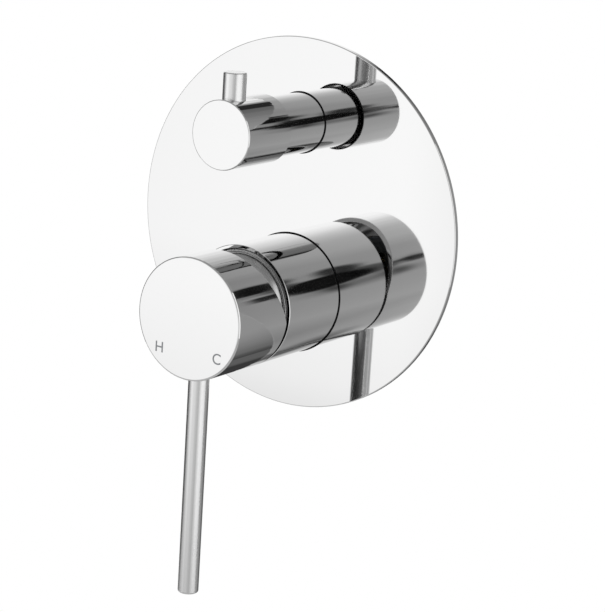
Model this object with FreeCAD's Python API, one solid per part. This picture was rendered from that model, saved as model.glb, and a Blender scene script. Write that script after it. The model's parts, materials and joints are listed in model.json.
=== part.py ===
import FreeCAD, Part
import math
import os

Vector = FreeCAD.Vector

# A single-lever shower mixer with a diverter, for a wall. The wall's surface is the plane y = 0,
# the room is on the side of negative y, z is up, and the origin is the middle of the round
# plate's back. A "reach" is a distance in front of the wall, a "depth" one behind its surface.
# All sizes are in millimetres.

# Fits
assembly_gap = 0.05          # between pieces that are put together and stay put
running_gap = 0.1            # radial, between a turning piece and its bearing
pin_gap = 0.05               # radial, between a pivot pin and its eye
lapped_gap = 0.02            # between two lapped ceramic faces
overshoot = 1.0              # how far a drill or cutter runs out past an open face
same_place = 0.01            # two points nearer than this are one

# Wall plate, a shallow pressed pan
plate_radius = 75.0
plate_thickness = 2.0
plate_sheet = 1.0
plate_rim_width = 1.2
plate_edge_round = 0.4
mixer_drop = 28.1            # mixer axis below the plate's middle
diverter_rise = 41.1         # diverter axis above it

# Rubber between the plate and the two cover tubes
hole_gap = 0.65
seal_lip_width = 2.5
seal_recess = 0.3
gasket_clearance = 0.3

# Mixer cover tube
sleeve_play = 0.5            # radial, between the tube and the boss it is pushed over
sleeve_wall = 1.4
sleeve_reach = 36.5
sleeve_depth = 5.0
sleeve_edge = 0.3

# Mixer handle, a cap with an oblique cut at the back that leaves room for the tilt
handle_seam = 0.8
handle_length = 32.2
handle_wall = 2.6
handle_rim_round = 1.0
handle_nose = 15.5
handle_cavity_round = 1.5
handle_boss_radius = 8.0
handle_boss_length = 7.0
cut_angle = 24.0
cut_start = 4.5              # how far below the axis the cut leaves the tube's rim
cut_edge = 0.2

# Pin lever, straight down below the handle
lever_radius = 4.1
lever_setback = 8.9          # behind the handle's front face
lever_drop = 112.3           # from the mixer axis to the lever's tip
lever_tip_round = 0.9
lever_seat = 20.0            # from the mixer axis to the shoulder inside the handle
tenon_radius = 3.0
tenon_end = 10.2
grub_radius = 2.5
grub_length = 6.0
grub_key = 2.5
grub_key_depth = 2.6

# Mixing cartridge, measured from the floor of its chamber
chamber_floor_reach = 10.0
port_seal_stand = 0.3
base_flange_height = 3.0
base_plug_height = 4.9
fixed_disc_height = 3.0
moving_disc_height = 3.5
carrier_height = 6.2
carrier_gap = 0.5
rotor_flange_height = 2.4
rotor_lift_gap = 0.2
shoulder_height = 1.2
neck_height = 6.5
cartridge_radius = 17.4
cartridge_wall = 2.5
neck_radius = 13.5
neck_wall = 1.8
housing_disc_gap = 0.3
disc_side_gap = 0.6
moving_disc_inset = 3.4      # how much smaller in radius the moving disc is, for its travel
carrier_side_inset = 1.9
cheek_gap = 0.3
cheek_length = 4.6
inlet_x = 6.5
inlet_drop = 4.6
inlet_radius = 2.3
outlet_rise = 4.0
outlet_radius = 2.8
passage_extra = 0.5          # the passages in base and body are wider than the disc's ports
port_ring_width = 1.0
port_ring_height = 1.2
pocket_land = 1.5            # sealing face left round the pocket
pocket_half_width = 7.0
pocket_low = 1.0
pocket_depth = 2.0
peg_radius = 1.5
peg_length = 3.0
peg_x = 10.5
peg_rise = 8.0
key_radius = 1.2
key_length = 1.0
key_z = 7.6
key_x = 5.0

# Stem of the cartridge: a square on a pivot, with a ball that pushes the disc carrier
stem_square = 7.4
stem_reach_past_boss = 17.5
stem_eye_radius = 4.4
stem_tip_break = 0.6
ball_arm = 9.0
ball_radius = 3.4
ball_gap = 0.15
ball_below_top = 1.0
arm_radius = 1.9
pivot_pin_radius = 1.5
pivot_pin_length = 21.6
tilt_range = 22.0            # degrees, from closed to fully open
slot_end_gap = 0.45
slot_side_gap = 0.1

# Nut that holds the cartridge, and the turned cover over it
boss_below_shoulder = 4.87
boss_wall = 2.2
nut_wall = 2.4
nut_thread_length = 10.4
nut_flange_inset = 1.0
nut_flange_height = 1.4
nut_flat_inset = 0.6         # how far the hexagon's flats stand inside the nut's bore
nut_hexagon_height = 4.1
nut_collar_inset = 1.2
nut_lip_height = 1.6
nut_lip_gap = 0.3
cover_overhang = 0.1
cover_sheet = 0.9
cover_step_rise = 4.9        # this and the next rises are from the boss the cover stands on
cover_step_inset = 0.7
cover_dome_rise = 5.7
cover_dome_inset = 1.3
cover_bulge_inset = 3.0
cover_bulge_rise = 8.2
cover_top_rise = 10.6
cover_neck_gap = 0.4

# Rubber rings that hold the cover tubes
ring_section = 0.83
mixer_ring_reach = 14.0
diverter_ring_section = 0.55

# Diverter cover tube and knob
diverter_sleeve_radius = 12.0
diverter_sleeve_wall = 0.9
knob_radius = 13.5
knob_rear_reach = 27.6
knob_length = 27.5
knob_rim_round = 0.7
knob_recess_radius = 12.9
knob_recess_depth = 4.0
knob_cavity_radius = 8.5
knob_cavity_depth = 5.0
knob_nose = 4.7
sleeve_in_knob = 2.0
knob_pin_radius = 4.5
knob_pin_setback = 7.4       # behind the knob's front face
knob_pin_rise = 23.5         # from the diverter axis to the pin's top
knob_pin_round = 0.6
knob_pin_seat = 11.5
knob_tenon_end = 8.0
knob_grub_length = 3.5

# Diverter headwork with its two ceramic discs
headwork_face_depth = 3.0
headwork_thread_radius = 10.0
headwork_thread_length = 9.0
headwork_rear_radius = 9.1
headwork_bore_radius = 7.8
headwork_flange_radius = 11.0
headwork_flange_height = 1.6
headwork_gasket = 0.5
headwork_hexagon = 19.0
headwork_hexagon_height = 5.0
headwork_collar_radius = 10.95
headwork_collar_height = 6.0
headwork_neck_radius = 7.9
headwork_neck_reach = 24.2
diverter_disc_radius = 7.7
diverter_disc_height = 2.4
diverter_port_radius = 3.0
diverter_channel_half = 2.0
window_height = 3.5          # half of the solid bridge between the two side windows
window_length = 5.4
seat_ring_radius = 5.2
spindle_radius = 4.2
spindle_shoulder_radius = 6.0
spindle_shoulder_height = 3.6
washer_height = 0.4
spindle_tip_reach = 50.0
spline_radius = 4.0
spline_root = 3.6
spline_teeth = 20
spline_start_reach = 27.0
circlip_width = 0.8
circlip_radius = 6.2
circlip_groove_radius = 3.5
circlip_offset = 0.3
spindle_ring_section = 0.9
spindle_ring_reach = 8.0
drive_tongue_width = 3.0
drive_tongue_half_span = 5.0
drive_tongue_length = 1.2

# Brass body in the wall
block_depth = 24.0
web_front_depth = 24.0
back_depth = 37.0
web_half_width = 15.0
inlet_depth = 18.0
inlet_span = 45.0            # from the middle to the face of each inlet
port_outer_radius = 12.5
port_thread_radius = 9.3     # inside radius of a half-inch pipe thread
port_thread_length = 12.0
inlet_duct_radius = 6.5
inlet_duct_start = 5.5
diverter_block_radius = 13.0
chamber_radius = 9.2
diverter_floor_depth = 24.0
headwork_floor_gap = 1.0
diverter_floor_hole = 5.0
outlet_depth = 15.5
shower_outlet_top = 66.0
shower_thread_length = 11.6
shower_passage = 4.5
bath_outlet_bottom = 70.0
bath_outlet_depth = 24.0
bath_passage = 6.0
duct_radius = 4.0
duct_depth = 31.0
mixed_duct_x = 4.0
bath_duct_x = 9.5
bath_duct_top = 20.0
bath_duct_bottom = 52.0
bath_duct_entry = 1.0        # how far its slanted end's middle stands in the diverter chamber
bath_duct_end_x = 3.0
saddle_half_width = 13.0
saddle_depth = 8.0
saddle_bottom = 15.0
lug_x = 25.0
lug_z = 8.0
lug_radius = 7.5
lug_thickness = 5.0
lug_hole_radius = 2.75
web_bottom = 57.0
casting_round = 2.0

# Places worked out from the sizes above
mixer_z = -mixer_drop
diverter_z = diverter_rise
handle_rear = -(sleeve_reach + handle_seam)
handle_front = handle_rear - handle_length
lever_y = handle_front + lever_setback
handle_floor = handle_front + handle_nose
handle_boss_end = handle_floor + handle_boss_length
stem_tip = handle_boss_end - stem_reach_past_boss
lever_hole_radius = lever_radius + assembly_gap

base_bottom = chamber_floor_reach + port_seal_stand
base_step = base_bottom + base_flange_height
base_top = base_step + base_plug_height
fixed_disc_bottom = base_top + assembly_gap
fixed_disc_top = fixed_disc_bottom + fixed_disc_height
moving_disc_bottom = fixed_disc_top + lapped_gap
moving_disc_top = moving_disc_bottom + moving_disc_height
carrier_top = moving_disc_top + carrier_height
rotor_bottom = carrier_top + carrier_gap
rotor_flange_top = rotor_bottom + rotor_flange_height
housing_ceiling = rotor_flange_top + rotor_lift_gap
shoulder_reach = housing_ceiling + shoulder_height
neck_reach = shoulder_reach + neck_height
housing_bore = cartridge_radius - cartridge_wall
fixed_disc_radius = housing_bore - disc_side_gap
moving_disc_radius = fixed_disc_radius - moving_disc_inset
carrier_half_width = moving_disc_radius - carrier_side_inset
pocket_radius = moving_disc_radius - pocket_land
rotor_flange_radius = housing_bore - housing_disc_gap
neck_bore = neck_radius - neck_wall
rotor_neck_radius = neck_bore - running_gap
ball_reach = carrier_top - ball_below_top
pivot_reach = ball_reach + ball_arm
slot_half_height = ball_arm * math.sin(math.radians(tilt_range)) + ball_radius + slot_end_gap
chamber_bore = cartridge_radius + 4 * assembly_gap
nut_thread_radius = chamber_bore + nut_wall
nut_collar_radius = nut_thread_radius - nut_collar_inset
nut_hexagon = 2 * (chamber_bore - nut_flat_inset)
boss_radius = nut_thread_radius + boss_wall
nut_flange_radius = boss_radius - nut_flange_inset
cover_radius = boss_radius + cover_overhang
cover_step_radius = cover_radius - cover_step_inset
cover_dome_radius = cover_radius - cover_dome_inset
cover_bulge_radius = cover_radius - cover_bulge_inset
sleeve_bore = boss_radius + sleeve_play
sleeve_radius = sleeve_bore + sleeve_wall
handle_radius = sleeve_radius
boss_reach = shoulder_reach - boss_below_shoulder
cover_step_reach = boss_reach + cover_step_rise
cover_dome_reach = boss_reach + cover_dome_rise
cover_bulge_reach = boss_reach + cover_bulge_rise
cover_top_reach = boss_reach + cover_top_rise
nut_flange_bottom = boss_reach + assembly_gap
nut_hexagon_bottom = nut_flange_bottom + nut_flange_height
nut_hexagon_top = nut_hexagon_bottom + nut_hexagon_height
nut_lip_bottom = shoulder_reach + assembly_gap
nut_top = nut_lip_bottom + nut_lip_height

diverter_bore = diverter_sleeve_radius - diverter_sleeve_wall
knob_front = -(knob_rear_reach + knob_length)
knob_pin_y = knob_front + knob_pin_setback
knob_socket_end = knob_front + knob_nose
diverter_sleeve_front = -(knob_rear_reach + sleeve_in_knob)
headwork_flange_face = headwork_face_depth - headwork_gasket
headwork_hexagon_start = headwork_flange_face - headwork_flange_height
headwork_collar_start = headwork_hexagon_start - headwork_hexagon_height
headwork_neck_start = headwork_collar_start - headwork_collar_height
headwork_ring_y = headwork_collar_start - headwork_collar_height / 2
window_front = headwork_face_depth + headwork_thread_length
window_rear = window_front + window_length
diverter_moving_front = window_rear - diverter_disc_height
diverter_fixed_front = window_rear + lapped_gap
diverter_fixed_rear = diverter_fixed_front + diverter_disc_height
headwork_rear = diverter_floor_depth - headwork_floor_gap
shoulder_rear = diverter_moving_front - drive_tongue_length
spindle_shoulder_front = shoulder_rear - spindle_shoulder_height
washer_front = spindle_shoulder_front - washer_height

# The places of the mixing cartridge's three ports: hot, cold and mixed water
inlets = [(-inlet_x, mixer_z - inlet_drop), (inlet_x, mixer_z - inlet_drop)]
outlet = (0.0, mixer_z + outlet_rise)
ports = [(x, z, inlet_radius) for x, z in inlets] + [(outlet[0], outlet[1], outlet_radius)]


def flat_point(corner):
    """Corner of an outline as a point of the plane that is turned about its second axis."""
    return Vector(corner[0], corner[1], 0)


def outline_face(corners):
    """Face from (radius, place) corners; a corner with a third entry is the middle of an arc."""
    edges = []
    count = len(corners)
    index = 0
    while index < count:
        start = flat_point(corners[index])
        following = corners[(index + 1) % count]
        if len(following) == 3:
            end = flat_point(corners[(index + 2) % count])
            edges.append(Part.Arc(start, flat_point(following), end).toShape())
            index += 2
        else:
            edges.append(Part.LineSegment(start, flat_point(following)).toShape())
            index += 1
    return Part.Face(Part.Wire(edges))


def turned(corners, axis_z):
    """Solid of revolution about a line along y at the height axis_z."""
    solid = outline_face(corners).revolve(Vector(0, 0, 0), Vector(0, 1, 0), 360)
    solid.translate(Vector(0, 0, axis_z))
    return solid


def turned_upright(corners, axis_y):
    """Solid of revolution about a vertical line in the plane x = 0; corners are (radius, z)."""
    solid = outline_face(corners).revolve(Vector(0, 0, 0), Vector(0, 1, 0), 360)
    solid.rotate(Vector(0, 0, 0), Vector(1, 0, 0), 90)
    solid.translate(Vector(0, axis_y, 0))
    return solid


def rounded_rim(radius, end, size, inward=1):
    """Three corners that round the rim between an end face and the side; inward is the way in."""
    lean = size * (1 - math.sqrt(0.5))
    face_corner = (radius - size, end)
    middle = (radius - lean, end + inward * lean, "arc")
    side_corner = (radius, end + inward * size)
    return [face_corner, middle, side_corner]


def rod(radius, start, end):
    """Cylinder from one point to another."""
    span = Vector(*end) - Vector(*start)
    return Part.makeCylinder(radius, span.Length, Vector(*start), span)


def block(low, high):
    """Box between two opposite corners."""
    size = Vector(*high) - Vector(*low)
    return Part.makeBox(size.x, size.y, size.z, Vector(*low))


def tube(outer, inner, near, far, axis_z):
    """Plain tube along y."""
    return turned([(inner, near), (outer, near), (outer, far), (inner, far)], axis_z)


def round_ring(middle_radius, section, place, axis_z):
    """Ring of round section about a line along y."""
    ring = Part.makeTorus(middle_radius, section, Vector(0, 0, 0), Vector(0, 1, 0))
    ring.translate(Vector(0, place, axis_z))
    return ring


def prism(corners, start, axis):
    """Straight prism: corners are in the plane across the axis, which is a vector."""
    wire = Part.makePolygon([Vector(*corner) for corner in corners + corners[:1]])
    solid = Part.Face(wire).extrude(axis)
    solid.translate(start)
    return solid


def hexagon_corners(across_flats):
    """Corners of a hexagon in the plane y = 0, with two flats up and down."""
    radius = across_flats / math.sqrt(3)
    return [(radius * math.cos(math.radians(60 * turn)), 0.0, radius * math.sin(math.radians(60 * turn)))
            for turn in range(6)]


def spline_corners(extra):
    """Corners of the splined end, or of its socket where extra is its clearance."""
    corners = []
    for turn in range(2 * spline_teeth):
        radius = (spline_radius if turn % 2 == 0 else spline_root) + extra
        angle = math.pi * turn / spline_teeth
        corners.append((radius * math.cos(angle), 0.0, radius * math.sin(angle)))
    return corners


def make_wall_plate():
    """Pressed round pan with two holes for the cover tubes."""
    rim_inner = plate_radius - plate_rim_width
    plate = turned(
        [(0, -plate_thickness)]
        + rounded_rim(plate_radius, -plate_thickness, plate_edge_round)
        + [(plate_radius, 0), (rim_inner, 0), (rim_inner, plate_sheet - plate_thickness),
           (0, plate_sheet - plate_thickness)],
        0)
    for radius, z in ((sleeve_radius, mixer_z), (diverter_sleeve_radius, diverter_z)):
        plate = plate.cut(rod(radius + hole_gap, (0, -2 * plate_thickness, z), (0, plate_thickness, z)))
    return plate


def make_plate_gasket():
    """Foam disc in the pan, flush with its rim, which seals the plate to the wall."""
    thickness = plate_thickness - plate_sheet - assembly_gap
    gasket = rod(plate_radius - plate_rim_width - gasket_clearance, (0, -thickness, 0), (0, 0, 0))
    for radius, z in ((sleeve_radius, mixer_z), (diverter_sleeve_radius, diverter_z)):
        hole = radius + seal_lip_width + gasket_clearance
        gasket = gasket.cut(rod(hole, (0, -plate_thickness, z), (0, plate_thickness, z)))
    return gasket


def make_sleeve_seal(radius, axis_z):
    """Rubber collar between a cover tube and the plate, with a lip behind the plate."""
    inner = radius + assembly_gap
    neck = radius + hole_gap - assembly_gap
    lip_front = plate_sheet - plate_thickness + assembly_gap
    nose = seal_recess - plate_thickness
    return turned([(inner, 0), (radius + seal_lip_width, 0), (radius + seal_lip_width, lip_front),
                   (neck, lip_front), (neck, nose), (inner, nose)], axis_z)


def make_mixer_sleeve():
    """Chromed cover tube around the mixer's boss, with both front edges broken."""
    front = -sleeve_reach
    return turned([(sleeve_bore, sleeve_depth), (sleeve_bore, front + sleeve_edge),
                   (sleeve_bore + sleeve_edge, front), (sleeve_radius - sleeve_edge, front),
                   (sleeve_radius, front + sleeve_edge), (sleeve_radius, sleeve_depth)], mixer_z)


def handle_cutter():
    """Wedge of space behind the handle's upper half, where the handle tilts to."""
    size = 4 * handle_radius
    space = block((-size, 0, -size), (size, size, size))
    space.rotate(Vector(0, 0, 0), Vector(1, 0, 0), cut_angle)
    space.translate(Vector(0, handle_rear, mixer_z - cut_start))
    return space


def make_mixer_handle():
    """Turned cap with a socket for the stem, a tapped hole for the lever and the oblique cut."""
    inner = handle_radius - handle_wall
    lean = handle_cavity_round * (1 - math.sqrt(0.5))
    handle = turned(
        [(0, handle_front)]
        + rounded_rim(handle_radius, handle_front, handle_rim_round)
        + [(handle_radius, handle_rear), (inner, handle_rear),
           (inner, handle_floor + handle_cavity_round),
           (inner - lean, handle_floor + lean, "arc"),
           (inner - handle_cavity_round, handle_floor),
           (handle_boss_radius, handle_floor), (handle_boss_radius, handle_boss_end),
           (0, handle_boss_end)],
        mixer_z)
    handle = handle.cut(handle_cutter())
    rims = [edge for edge in handle.Edges if on_cut_rim(edge, inner)]
    handle = handle.makeChamfer(cut_edge, rims)
    half = stem_square / 2 + assembly_gap
    handle = handle.cut(block((-half, stem_tip - assembly_gap, mixer_z - half),
                              (half, handle_boss_end + overshoot, mixer_z + half)))
    outside = (0, lever_y, mixer_z - 2 * handle_radius)
    for radius, depth in ((lever_hole_radius, lever_seat), (tenon_radius, tenon_end), (grub_radius, 0)):
        handle = handle.cut(rod(radius, outside, (0, lever_y, mixer_z - depth)))
    return handle


def on_cut_rim(edge, inner):
    """True for the edges round the handle's open end, outside and inside."""
    start, end = edge.ParameterRange
    for share in (0.0, 0.3, 0.6, 1.0):
        point = edge.valueAt(start + share * (end - start))
        radius = math.hypot(point.x, point.z - mixer_z)
        above = max(0.0, point.z - mixer_z + cut_start)
        rim_y = handle_rear - math.tan(math.radians(cut_angle)) * above
        off_wall = min(abs(radius - handle_radius), abs(radius - inner))
        if max(off_wall, abs(point.y - rim_y)) > same_place:
            return False
    return True


def make_mixer_lever():
    """Straight round pin with a tenon that screws into the handle."""
    tip = mixer_z - lever_drop
    seat = mixer_z - lever_seat - assembly_gap
    tenon = tenon_radius - assembly_gap
    tenon_top = mixer_z - tenon_end - 2 * assembly_gap
    return turned_upright(
        [(0, tip)]
        + rounded_rim(lever_radius, tip, lever_tip_round)
        + [(lever_radius, seat), (tenon, seat), (tenon, tenon_top), (0, tenon_top)],
        lever_y)


def make_grub_screw(axis_y, inner_z, outer_z):
    """Set screw with a hexagon socket; inner_z is its tip and outer_z its socket end."""
    way = 1 if inner_z > outer_z else -1
    screw = rod(grub_radius - assembly_gap, (0, axis_y, outer_z), (0, axis_y, inner_z))
    key = prism(hexagon_corners(grub_key), Vector(0, 0, 0), Vector(0, grub_key_depth, 0))
    key.rotate(Vector(0, 0, 0), Vector(1, 0, 0), 90 * way)
    key.translate(Vector(0, axis_y, outer_z))
    return screw.cut(key)


def make_mixer_stem():
    """Stem of the cartridge: square for the handle, pivot eye, thin arm and ball."""
    half = stem_square / 2
    pivot = -pivot_reach
    square = block((-half, stem_tip, mixer_z - half), (half, pivot, mixer_z + half))
    tip_edges = [edge for edge in square.Edges if abs(edge.CenterOfMass.y - stem_tip) < same_place]
    square = square.makeChamfer(stem_tip_break, tip_edges)
    eye = rod(stem_eye_radius, (-half, pivot, mixer_z), (half, pivot, mixer_z))
    arm = rod(arm_radius, (0, pivot, mixer_z), (0, -ball_reach, mixer_z))
    ball = Part.makeSphere(ball_radius, Vector(0, -ball_reach, mixer_z))
    stem = square.fuse([eye, arm, ball])
    bore = rod(pivot_pin_radius + pin_gap, (-stem_square, pivot, mixer_z), (stem_square, pivot, mixer_z))
    return stem.cut(bore).removeSplitter()


def make_stem_pivot_pin():
    """Steel cross pin on which the stem tilts."""
    half = pivot_pin_length / 2
    return rod(pivot_pin_radius, (-half, -pivot_reach, mixer_z), (half, -pivot_reach, mixer_z))


def make_mixer_rotor():
    """Rotor with the stem's slot and, behind it, two cheeks that guide the disc carrier."""
    rotor = turned([(0, -neck_reach), (rotor_neck_radius, -neck_reach),
                    (rotor_neck_radius, -rotor_flange_top), (rotor_flange_radius, -rotor_flange_top),
                    (rotor_flange_radius, -rotor_bottom), (0, -rotor_bottom)], mixer_z)
    cheek_start = carrier_half_width + cheek_gap
    cheek_end = -rotor_bottom + cheek_length
    ring = rod(rotor_flange_radius, (0, -rotor_bottom, mixer_z), (0, cheek_end, mixer_z))
    for side in (-1, 1):
        near = min(side * cheek_start, side * rotor_flange_radius)
        far = max(side * cheek_start, side * rotor_flange_radius)
        slab = block((near, -rotor_bottom, mixer_z - rotor_flange_radius),
                     (far, cheek_end, mixer_z + rotor_flange_radius))
        rotor = rotor.fuse(ring.common(slab))
    half = stem_square / 2 + slot_side_gap
    rotor = rotor.cut(block((-half, -neck_reach - overshoot, mixer_z - slot_half_height),
                            (half, -rotor_bottom + overshoot, mixer_z + slot_half_height)))
    bore = rod(pivot_pin_radius + assembly_gap / 2, (-rotor_neck_radius, -pivot_reach, mixer_z),
               (rotor_neck_radius, -pivot_reach, mixer_z))
    return rotor.cut(bore).removeSplitter()


def key_places():
    """Places of the two keys between the carrier and the moving disc."""
    return [(-key_x, mixer_z + key_z), (key_x, mixer_z + key_z)]


def make_disc_carrier():
    """Carrier with a socket for the stem's ball, flats for the cheeks and keys for the disc."""
    carrier = rod(moving_disc_radius, (0, -moving_disc_top, mixer_z), (0, -carrier_top, mixer_z))
    slab = block((-carrier_half_width, -carrier_top, mixer_z - moving_disc_radius),
                 (carrier_half_width, -moving_disc_top, mixer_z + moving_disc_radius))
    carrier = carrier.common(slab)
    socket_radius = ball_radius + ball_gap
    socket_floor = socket_radius - ball_reach
    socket_mouth = -carrier_top - overshoot
    carrier = carrier.cut(rod(socket_radius, (0, socket_floor, mixer_z), (0, socket_mouth, mixer_z)))
    for x, z in key_places():
        key = rod(key_radius, (x, -moving_disc_top, z), (x, key_length - moving_disc_top, z))
        carrier = carrier.fuse(key)
    return carrier


def make_moving_disc():
    """Ceramic disc that slides and turns, with a mixing pocket in its lapped face."""
    disc = rod(moving_disc_radius, (0, -moving_disc_bottom, mixer_z), (0, -moving_disc_top, mixer_z))
    pocket_floor = -moving_disc_bottom - pocket_depth
    pocket = rod(pocket_radius, (0, -moving_disc_bottom, mixer_z), (0, pocket_floor, mixer_z))
    pocket = pocket.common(block((-pocket_half_width, pocket_floor, mixer_z - pocket_low),
                                 (pocket_half_width, -moving_disc_bottom, mixer_z + pocket_radius)))
    disc = disc.cut(pocket)
    for x, z in key_places():
        disc = disc.cut(rod(key_radius + assembly_gap, (x, -moving_disc_top, z),
                            (x, -moving_disc_top + key_length + assembly_gap, z)))
    return disc


def make_fixed_disc():
    """Ceramic disc with the hot, cold and mixed ports."""
    disc = rod(fixed_disc_radius, (0, -fixed_disc_bottom, mixer_z), (0, -fixed_disc_top, mixer_z))
    for x, z, radius in ports:
        disc = disc.cut(rod(radius, (x, 0, z), (x, -neck_reach, z)))
    return disc


def port_ring(x, z, radius, low, high):
    """Flat-sided rubber ring round one passage, between two reaches."""
    inner = radius + passage_extra + 2 * assembly_gap
    ring = rod(inner + port_ring_width, (x, -low, z), (x, -high, z))
    return ring.cut(rod(inner, (x, -low, z), (x, -high, z)))


def port_groove(x, z, radius, low, high):
    """Groove for such a ring, a little wider than the ring."""
    inner = radius + passage_extra + assembly_gap
    groove = rod(inner + port_ring_width + 2 * assembly_gap, (x, -low, z), (x, -high, z))
    return groove.cut(rod(inner, (x, -low, z), (x, -high, z)))


def make_cartridge_base():
    """Foot of the cartridge, with three passages, seal grooves on both faces and two pegs."""
    plug_radius = housing_bore - assembly_gap
    base = turned([(0, -base_bottom), (cartridge_radius, -base_bottom), (cartridge_radius, -base_step),
                   (plug_radius, -base_step), (plug_radius, -base_top), (0, -base_top)], mixer_z)
    for x, z, radius in ports:
        base = base.cut(rod(radius + passage_extra, (x, 0, z), (x, -neck_reach, z)))
        base = base.cut(port_groove(x, z, radius, base_top - port_ring_height, base_top))
        base = base.cut(port_groove(x, z, radius, base_bottom, base_bottom + port_ring_height))
    for side in (-1, 1):
        x = side * peg_x
        z = mixer_z + peg_rise
        base = base.fuse(rod(peg_radius, (x, -base_bottom, z), (x, -base_bottom + peg_length, z)))
    return base


def make_port_rings(low, high):
    """The three rubber rings of one face of the cartridge's foot."""
    return Part.makeCompound([port_ring(x, z, radius, low, high) for x, z, radius in ports])


def make_cartridge_housing():
    """Moulded housing of the cartridge: a cup with a shoulder and a neck for the rotor."""
    foot = base_step + assembly_gap
    return turned([(housing_bore, -foot), (cartridge_radius, -foot), (cartridge_radius, -shoulder_reach),
                   (neck_radius, -shoulder_reach), (neck_radius, -neck_reach), (neck_bore, -neck_reach),
                   (neck_bore, -housing_ceiling), (housing_bore, -housing_ceiling)], mixer_z)


def make_cartridge_nut():
    """Brass nut that screws into the boss and clamps the housing's shoulder."""
    thread = nut_thread_radius - assembly_gap
    lip_bore = neck_radius + nut_lip_gap
    corner_radius = nut_hexagon / math.sqrt(3)
    nut = turned([(chamber_bore, nut_thread_length - boss_reach), (thread, nut_thread_length - boss_reach),
                  (thread, -nut_flange_bottom), (nut_flange_radius, -nut_flange_bottom),
                  (nut_flange_radius, -nut_hexagon_bottom), (corner_radius, -nut_hexagon_bottom),
                  (corner_radius, -nut_hexagon_top), (nut_collar_radius, -nut_hexagon_top),
                  (nut_collar_radius, -nut_top), (lip_bore, -nut_top), (lip_bore, -nut_lip_bottom),
                  (chamber_bore, -nut_lip_bottom)], mixer_z)
    height = Vector(0, -nut_hexagon_height, 0)
    around = tube(2 * nut_flange_radius, nut_collar_radius - nut_lip_height, -nut_hexagon_bottom,
                  -nut_hexagon_top, mixer_z)
    hexagon = prism(hexagon_corners(nut_hexagon), Vector(0, -nut_hexagon_bottom, mixer_z), height)
    return nut.cut(around.cut(hexagon))


def make_dome_cover():
    """Thin chromed cover over the nut, with two turned steps and a domed top round the neck."""
    opening = neck_radius + cover_neck_gap
    inner = cover_radius - cover_sheet
    rear = -(boss_reach + assembly_gap)
    return turned([(inner, rear), (cover_radius, rear), (cover_radius, -cover_step_reach),
                   (cover_step_radius, -cover_step_reach), (cover_step_radius, -cover_dome_reach),
                   (cover_dome_radius, -cover_dome_reach),
                   (cover_bulge_radius, -cover_bulge_reach, "arc"),
                   (opening, -cover_top_reach),
                   (opening, cover_sheet - cover_top_reach),
                   (cover_bulge_radius - cover_sheet / 2, cover_sheet - cover_bulge_reach, "arc"),
                   (cover_dome_radius - cover_sheet, cover_sheet / 2 - cover_dome_reach),
                   (inner, cover_sheet - cover_dome_reach)], mixer_z)


def make_diverter_sleeve():
    """Thinner cover tube behind the diverter knob; its front end stands in the knob's recess."""
    rear = headwork_flange_face
    front = diverter_sleeve_front
    return turned([(diverter_bore, rear), (diverter_bore, front),
                   (diverter_sleeve_radius - sleeve_edge, front),
                   (diverter_sleeve_radius, front + sleeve_edge), (diverter_sleeve_radius, rear)], diverter_z)


def make_diverter_knob():
    """Turned knob with a recess over the cover tube and a splined socket for the spindle."""
    rear = -knob_rear_reach
    recess_floor = rear - knob_recess_depth
    cavity_floor = recess_floor - knob_cavity_depth
    knob = turned(
        [(0, knob_front)]
        + rounded_rim(knob_radius, knob_front, knob_rim_round)
        + [(knob_radius, rear), (knob_recess_radius, rear), (knob_recess_radius, recess_floor),
           (knob_cavity_radius, recess_floor), (knob_cavity_radius, cavity_floor), (0, cavity_floor)],
        diverter_z)
    socket = prism(spline_corners(assembly_gap), Vector(0, cavity_floor, diverter_z),
                   Vector(0, knob_socket_end - cavity_floor, 0))
    knob = knob.cut(socket)
    outside = (0, knob_pin_y, diverter_z + 2 * knob_radius)
    pin_hole = knob_pin_radius + assembly_gap
    for radius, height in ((pin_hole, knob_pin_seat), (tenon_radius, knob_tenon_end), (grub_radius, 0)):
        knob = knob.cut(rod(radius, (0, knob_pin_y, diverter_z + height), outside))
    return knob


def make_diverter_pin():
    """Short upright pin on the knob, with a tenon that screws in."""
    top = diverter_z + knob_pin_rise
    seat = diverter_z + knob_pin_seat + assembly_gap
    tenon = tenon_radius - assembly_gap
    tenon_foot = diverter_z + knob_tenon_end + 2 * assembly_gap
    return turned_upright(
        [(0, top)]
        + rounded_rim(knob_pin_radius, top, knob_pin_round, -1)
        + [(knob_pin_radius, seat), (tenon, seat), (tenon, tenon_foot), (0, tenon_foot)],
        knob_pin_y)


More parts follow.
